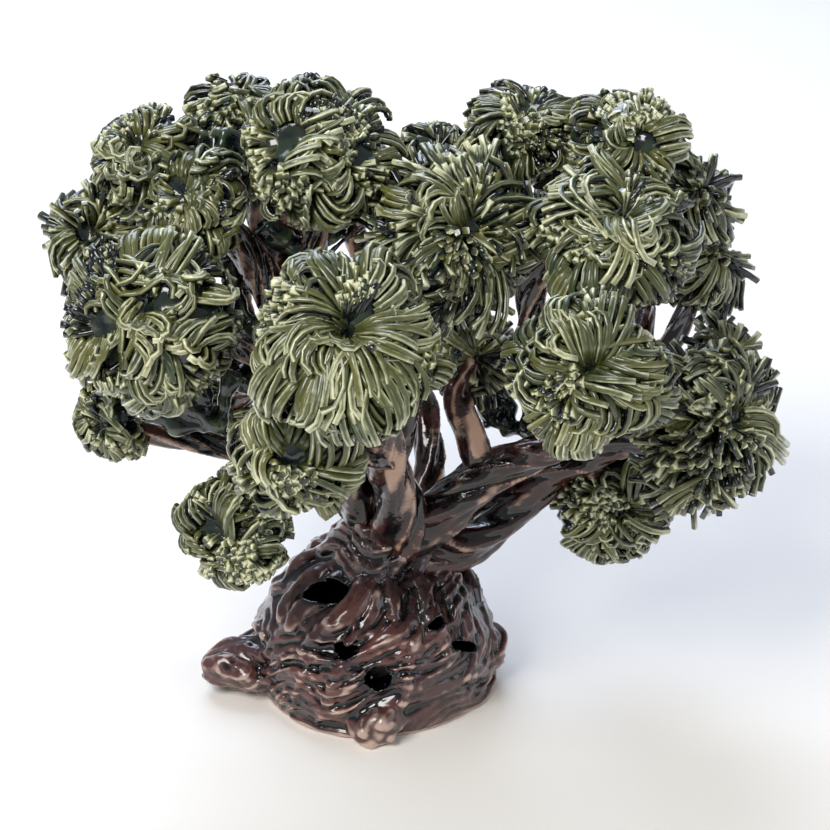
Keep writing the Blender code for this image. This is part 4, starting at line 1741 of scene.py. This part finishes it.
LIMBS = numbered(101, (
    Limb("right_upper_limb", 7.5, 4.6, (
        (-5.0, -3.0, 7.0), (10.0, -8.0, 22.0), (26.0, -8.0, 35.0), (41.0, -10.0, 45.0),
        (52.0, -20.0, 58.0), (51.0, -40.0, 75.0), (49.0, -56.0, 86.0)), ribbons=5),
    Limb("right_lower_limb", 7.5, 4.6, (
        (-6.0, -1.0, 1.0), (17.0, 0.0, 6.0), (33.0, 2.0, 19.0), (48.0, 2.0, 32.0),
        (65.0, -4.0, 43.0), (84.0, -14.0, 52.0)), ribbons=5),
    Limb("left_limb", 8.8, 4.6, (
        (-7.0, -1.0, 3.0), (-15.0, -2.0, 21.0), (-22.0, -4.0, 40.0), (-32.0, -4.0, 64.0),
        (-41.0, -4.0, 88.0), (-49.0, -6.0, 106.0), (-59.0, -8.0, 118.0)), ribbons=5, webs=(
            ((-33.0, 0.0, 66.0), (-47.0, 4.0, 76.0), (-53.0, 6.0, 88.0), (-52.0, 2.0, 104.0)),
            ((-37.0, -2.0, 82.0), (-46.0, 4.0, 90.0), (-56.0, 4.0, 98.0)),
            ((-42.0, -2.0, 92.0), (-39.0, 4.0, 102.0), (-37.0, 3.0, 112.0), (-40.0, 2.0, 120.0)),
            ((-31.0, -3.0, 92.0), (-26.0, 2.0, 102.0), (-18.0, 3.0, 110.0), (-14.0, 2.0, 118.0)),
            ((-30.0, -3.0, 100.0), (-34.0, 3.0, 108.0), (-44.0, 2.0, 112.0)))),
    Limb("front_limb", 7.2, 4.8, (
        (-6.0, -5.0, 6.0), (-5.0, -16.0, 29.0), (-9.0, -26.0, 51.0), (-15.0, -48.0, 77.0),
        (-19.0, -70.0, 99.0)), bare=18.0, ribbons=4),
    Limb("rear_limb", 6.0, 4.2, (
        (-5.0, 2.0, 6.0), (5.0, 14.0, 20.0), (3.0, 28.0, 36.0), (-7.0, 50.0, 58.0),
        (-22.0, 72.0, 90.0)), ribbons=4),
    Limb("low_left_limb", 5.4, 3.8, (
        (-20.0, -4.0, 35.0), (-35.0, -15.0, 43.0), (-53.0, -20.0, 48.0), (-68.0, -20.0, 52.0),
        (-88.0, -18.0, 55.0)), ribbons=4),
    Limb("low_centre_limb", 5.2, 3.8, (
        (22.0, -8.0, 32.0), (17.0, -5.0, 46.0), (13.0, 0.0, 56.0), (17.0, 9.0, 64.0)), bare=20.0),
    Limb("upper_right_limb", 5.2, 3.8, (
        (43.0, -12.0, 47.0), (40.0, -1.0, 64.0), (35.0, 2.0, 82.0), (37.0, 0.0, 101.0),
        (45.0, -8.0, 112.0), (55.0, -20.0, 115.0)), ribbons=4),
    Limb("left_front_branch", 5.2, 3.8, ((-32.0, -4.0, 64.0), (-49.0, -22.0, 81.0), (-72.0, -36.0, 96.0))),
    Limb("crown_left_branch", 4.6, 3.6, ((-47.0, -5.0, 102.0), (-60.0, 5.0, 114.0), (-77.0, 10.0, 128.0))),
    Limb("left_edge_branch", 3.8, 3.0, ((-62.0, 6.0, 116.0), (-80.0, 8.0, 110.0), (-92.0, 8.0, 106.0))),
    Limb("rear_crown_branch", 4.2, 3.2, ((-42.0, -4.0, 91.0), (-49.0, 20.0, 112.0), (-55.0, 37.0, 134.0))),
    Limb("crown_centre_branch", 5.0, 3.8, ((-34.0, -4.0, 70.0), (-30.0, -3.0, 104.0), (-28.0, -5.0, 132.0))),
    Limb("rear_left_branch", 4.6, 3.4, ((-27.0, -4.0, 52.0), (-44.0, 24.0, 52.0), (-60.0, 42.0, 34.0))),
    Limb("far_left_branch", 4.2, 3.4, ((-42.0, 22.0, 52.5), (-60.0, 44.0, 66.0), (-76.0, 60.0, 78.0))),
    Limb("low_left_branch", 4.2, 3.4, ((-38.0, -16.0, 44.0), (-43.0, -31.0, 37.0), (-50.0, -41.0, 32.0))),
    Limb("low_front_branch", 4.6, 3.6, ((-8.0, -25.0, 48.0), (-22.0, -48.0, 60.0), (-33.0, -68.0, 67.0))),
    Limb("centre_branch", 4.8, 3.8, ((-8.0, -22.0, 42.0), (3.0, -16.0, 78.0), (10.0, -15.0, 110.0))),
    Limb("rear_centre_branch", 4.2, 3.2, ((1.0, 32.0, 40.0), (5.0, 48.0, 80.0), (7.0, 61.0, 111.0))),
    Limb("low_right_branch", 4.4, 3.4, ((52.0, 0.0, 35.0), (60.0, 5.0, 26.0), (64.0, 8.0, 17.0))),
    Limb("right_edge_branch", 3.8, 3.0, ((74.0, -9.0, 47.5), (87.0, 1.0, 59.0), (95.0, 6.0, 69.0))),
    Limb("rear_right_branch", 4.6, 3.4, ((60.0, -2.0, 40.0), (80.0, 26.0, 60.0), (93.0, 46.0, 82.0))),
    Limb("rear_far_branch", 4.2, 3.4, ((68.0, 10.0, 47.5), (74.0, 42.0, 66.0), (76.0, 68.0, 92.0))),
    Limb("crown_mid_branch", 4.4, 3.4, ((36.5, 1.0, 92.0), (32.0, 13.0, 112.0), (33.0, 24.0, 129.0))),
    Limb("crown_right_branch", 4.4, 3.4, ((41.0, -4.0, 107.0), (56.0, 2.0, 122.0), (65.0, 5.0, 134.0))),
    Limb("crown_edge_branch", 3.8, 3.0, ((51.0, 0.0, 117.5), (73.0, 17.0, 115.0), (89.0, 30.0, 112.0))),
))

WEBS = (
    GlazeWeb("low_centre_web", (
        ((12.0, 10.0, 62.0), (23.0, 19.0, 55.0), (29.0, 22.0, 46.0), (31.0, 15.0, 36.0)),
        ((20.0, 14.0, 60.0), (32.0, 20.0, 52.0), (37.0, 18.0, 45.0), (38.0, 12.0, 37.0)),
        ((22.0, 18.0, 57.0), (24.0, 21.0, 48.0), (25.0, 16.0, 38.0))), 4.2, seed=301),
    GlazeWeb("left_front_web", (
        ((-65.0, -26.0, 76.0), (-62.5, -29.0, 69.0), (-61.0, -32.0, 59.0)),
        ((-54.0, -26.0, 76.0), (-56.0, -29.0, 69.0), (-59.0, -32.0, 59.0)),
        ((-78.0, -28.0, 68.0), (-71.0, -29.0, 66.0), (-62.0, -30.0, 66.0)),
        ((-80.0, -28.0, 63.0), (-70.0, -29.0, 61.0), (-61.0, -30.0, 61.0))), 3.2, seed=303),
    GlazeWeb("left_inner_web", (
        ((-66.0, -16.0, 76.0), (-57.0, -11.0, 69.0), (-46.0, -10.0, 66.0)),
        ((-54.0, -16.0, 72.0), (-47.0, -18.0, 66.0), (-39.0, -18.0, 70.0)),
        ((-60.0, -12.0, 74.0), (-52.0, -10.0, 72.0), (-42.0, -8.0, 71.0))), 3.6, seed=305),
    GlazeWeb("crown_web", (
        ((-46.0, -4.0, 114.0), (-38.0, 0.0, 107.0), (-30.0, 0.0, 108.0), (-21.0, 0.0, 111.0)),
        ((-57.0, 0.0, 110.0), (-55.0, 0.0, 98.0), (-53.0, -2.0, 84.0), (-46.0, -3.0, 78.0)),
        ((-66.0, 10.0, 136.0), (-59.0, 12.0, 130.0), (-53.0, 12.0, 124.0)),
        ((-62.0, 12.0, 126.0), (-56.0, 13.0, 135.0), (-50.0, 12.0, 132.0))), 3.9, seed=307),
    GlazeWeb("crown_right_web", (
        ((35.0, 18.0, 124.0), (40.0, 20.0, 119.0), (47.0, 16.0, 128.0), (50.0, 14.0, 138.0)),
    ), 3.4, seed=309),
)

SPRAY_WHORLS = (Whorl(0.0, 10.0, 0.2, 22.0, 10.0),)
TUFTS = numbered(201, (
    Tuft("front_left_tuft", 2.0, 34.0, 28.0, 20.0, 5, Habit.COMBED, (Whorl(20.0, 14.0, 0.55, 20.0, 14.0),),
         (Brush(15.0, 48.0, 15.0, 1.6), Brush(-75.0, 66.0, 14.0, 1.0)), 11.4, pool=1.3),
    Tuft("front_right_tuft", -4.0, 30.0, 25.0, 18.5, 4, Habit.COMBED, (Whorl(0.0, 4.0, 0.5, 20.0, 8.0),),
         (Brush(10.0, 22.0, 9.0, -2.0),), 11.4),
    Tuft("left_front_tuft", -16.0, 28.0, 28.0, 22.0, 5, Habit.SHAGGY,
         (Whorl(30.0, 20.0, 0.3, 22.0, 40.0), Whorl(-110.0, 50.0, 0.2, 18.0, -30.0)),
         (Brush(-60.0, 62.0, 14.0, 1.0),), 10.8, pool=1.3),
    Tuft("right_upper_tuft", 6.0, 48.0, 26.0, 18.5, 5, Habit.COMBED, (Whorl(35.0, 30.0, 0.5, 18.0, 16.0),),
         (Brush(-110.0, 52.0, 15.0, 1.2),), 11.4),
    Tuft("crown_centre_tuft", 24.0, 46.0, 26.0, 21.0, 6, Habit.COMBED,
         (Whorl(-70.0, 52.0, 0.25, 20.0, 24.0),),
         (Brush(60.0, 24.0, 34.0, 1.4),), 9.6),
    Tuft("centre_tuft", 34.0, 30.0, 25.0, 21.0, 5, Habit.SPRAY, (Whorl(0.0, 12.0, 0.3, 24.0, 10.0),),
         (Brush(-120.0, 40.0, 22.0, 1.4),), 10.2),
    Tuft("right_middle_tuft", 58.0, 12.0, 23.5, 24.5, 5, Habit.SPRAY, (Whorl(-30.0, 24.0, 0.2, 24.0, 10.0),),
         (Brush(-90.0, 46.0, 26.0, 1.0),), 9.6),
    Tuft("crown_right_tuft", 6.0, 58.0, 20.0, 16.0, 4, Habit.COMBED, (Whorl(150.0, 50.0, 0.1, 20.0, 30.0),),
         (Brush(0.0, 20.0, 34.0, 1.2),), 8.5),
    Tuft("crown_left_tuft", -40.0, 48.0, 20.0, 16.0, 4, Habit.SHAGGY, (Whorl(60.0, 30.0, 0.3, 24.0, 40.0),),
         (), 9.6),
    Tuft("inner_left_tuft", -20.0, 42.0, 19.0, 16.0, 4, Habit.SHAGGY, (Whorl(-60.0, 30.0, 0.3, 24.0, -30.0),),
         (), 9.1),
    Tuft("crown_mid_tuft", -8.0, 56.0, 20.0, 16.0, 5, Habit.COMBED, (Whorl(0.0, 30.0, 0.2, 24.0, 20.0),),
         (Brush(180.0, 30.0, 36.0, 1.2),), 8.5),
    Tuft("low_front_tuft", -12.0, -10.0, 20.0, 15.0, 4, Habit.SHAGGY, (Whorl(20.0, 60.0, 0.15, 24.0, 20.0),),
         (), 9.6),
    Tuft("low_left_tuft", -20.0, 10.0, 19.5, 16.0, 5, Habit.SHAGGY, (Whorl(-50.0, 40.0, 0.2, 22.0, 40.0),),
         (Brush(150.0, 40.0, 34.0, 1.2),), 8.5),
    Tuft("low_right_tuft", 10.0, 0.0, 22.0, 16.0, 5, Habit.SHAGGY, (Whorl(80.0, 30.0, 0.25, 22.0, 30.0),),
         (Brush(-90.0, 46.0, 26.0, 1.0),), 9.1),
    Tuft("far_left_tuft", -128.0, 24.0, 21.0, 17.0, 5, Habit.COMBED, (Whorl(0.0, 10.0, 0.4, 22.0, 14.0),),
         (), 9.6),
    Tuft("rear_tuft", 180.0, 32.0, 23.0, 17.0, 5, Habit.COMBED, (Whorl(0.0, 10.0, 0.45, 22.0, 14.0),),
         (Brush(120.0, 50.0, 20.0, 1.0),), 10.2),
    Tuft("rear_right_tuft", 150.0, 30.0, 20.0, 16.0, 4, Habit.SHAGGY, (Whorl(0.0, 16.0, 0.3, 22.0, 14.0),),
         (), 9.6),
    Tuft("right_edge_tuft", 62.0, 16.0, 16.0, 14.0, 4, Habit.SPRAY, SPRAY_WHORLS, (), 8.5),
    Tuft("crown_edge_tuft", 60.0, 34.0, 14.5, 12.0, 4, Habit.SPRAY, SPRAY_WHORLS, (), 7.9),
    Tuft("rear_crown_tuft", -10.0, 74.0, 18.0, 11.0, 4, Habit.SHAGGY, (Whorl(0.0, 30.0, 0.2, 22.0, 30.0),),
         (), 9.1),
    Tuft("rear_centre_tuft", 30.0, 58.0, 15.0, 12.0, 4, Habit.SHAGGY, (Whorl(0.0, 20.0, 0.2, 22.0, 20.0),),
         (), 7.9),
    Tuft("left_edge_tuft", -78.0, 10.0, 14.5, 17.0, 4, Habit.SPRAY, (Whorl(60.0, 60.0, 0.1, 22.0, 10.0),),
         (), 9.1),
    Tuft("left_low_tuft", -40.0, -12.0, 15.0, 13.0, 4, Habit.SHAGGY, (Whorl(0.0, 30.0, 0.2, 22.0, 20.0),),
         (), 7.9),
    Tuft("low_centre_tuft", 14.0, 4.0, 14.5, 12.0, 4, Habit.SPRAY, SPRAY_WHORLS, (), 7.9),
    Tuft("rear_left_tuft", -30.0, 6.0, 15.0, 12.0, 4, Habit.SHAGGY, (Whorl(0.0, 20.0, 0.2, 22.0, 20.0),),
         (), 7.9),
    Tuft("right_spray_tuft", 36.0, 46.0, 12.5, 11.5, 4, Habit.SPRAY, SPRAY_WHORLS, (), 7.9),
))


def main() -> None:
    """Builds the tree and its studio."""
    logging.basicConfig(level=logging.INFO, format="%(message)s")
    breaking = GlazeKitchen.breaking_glaze()
    leaf, pool = LEAF_GLAZE.fire(breaking), POOL_GLAZE.fire(breaking)
    wood, root = WOOD_GLAZE.fire(breaking), ROOT_GLAZE.fire(breaking)
    RootMass().build(root)
    for limb in LIMBS:
        limb.build(wood)
    for web in WEBS:
        web.build(pool)
    for tuft in TUFTS:
        tuft.build(leaf, pool)
    Studio().build()


if __name__ == "__main__":
    main()
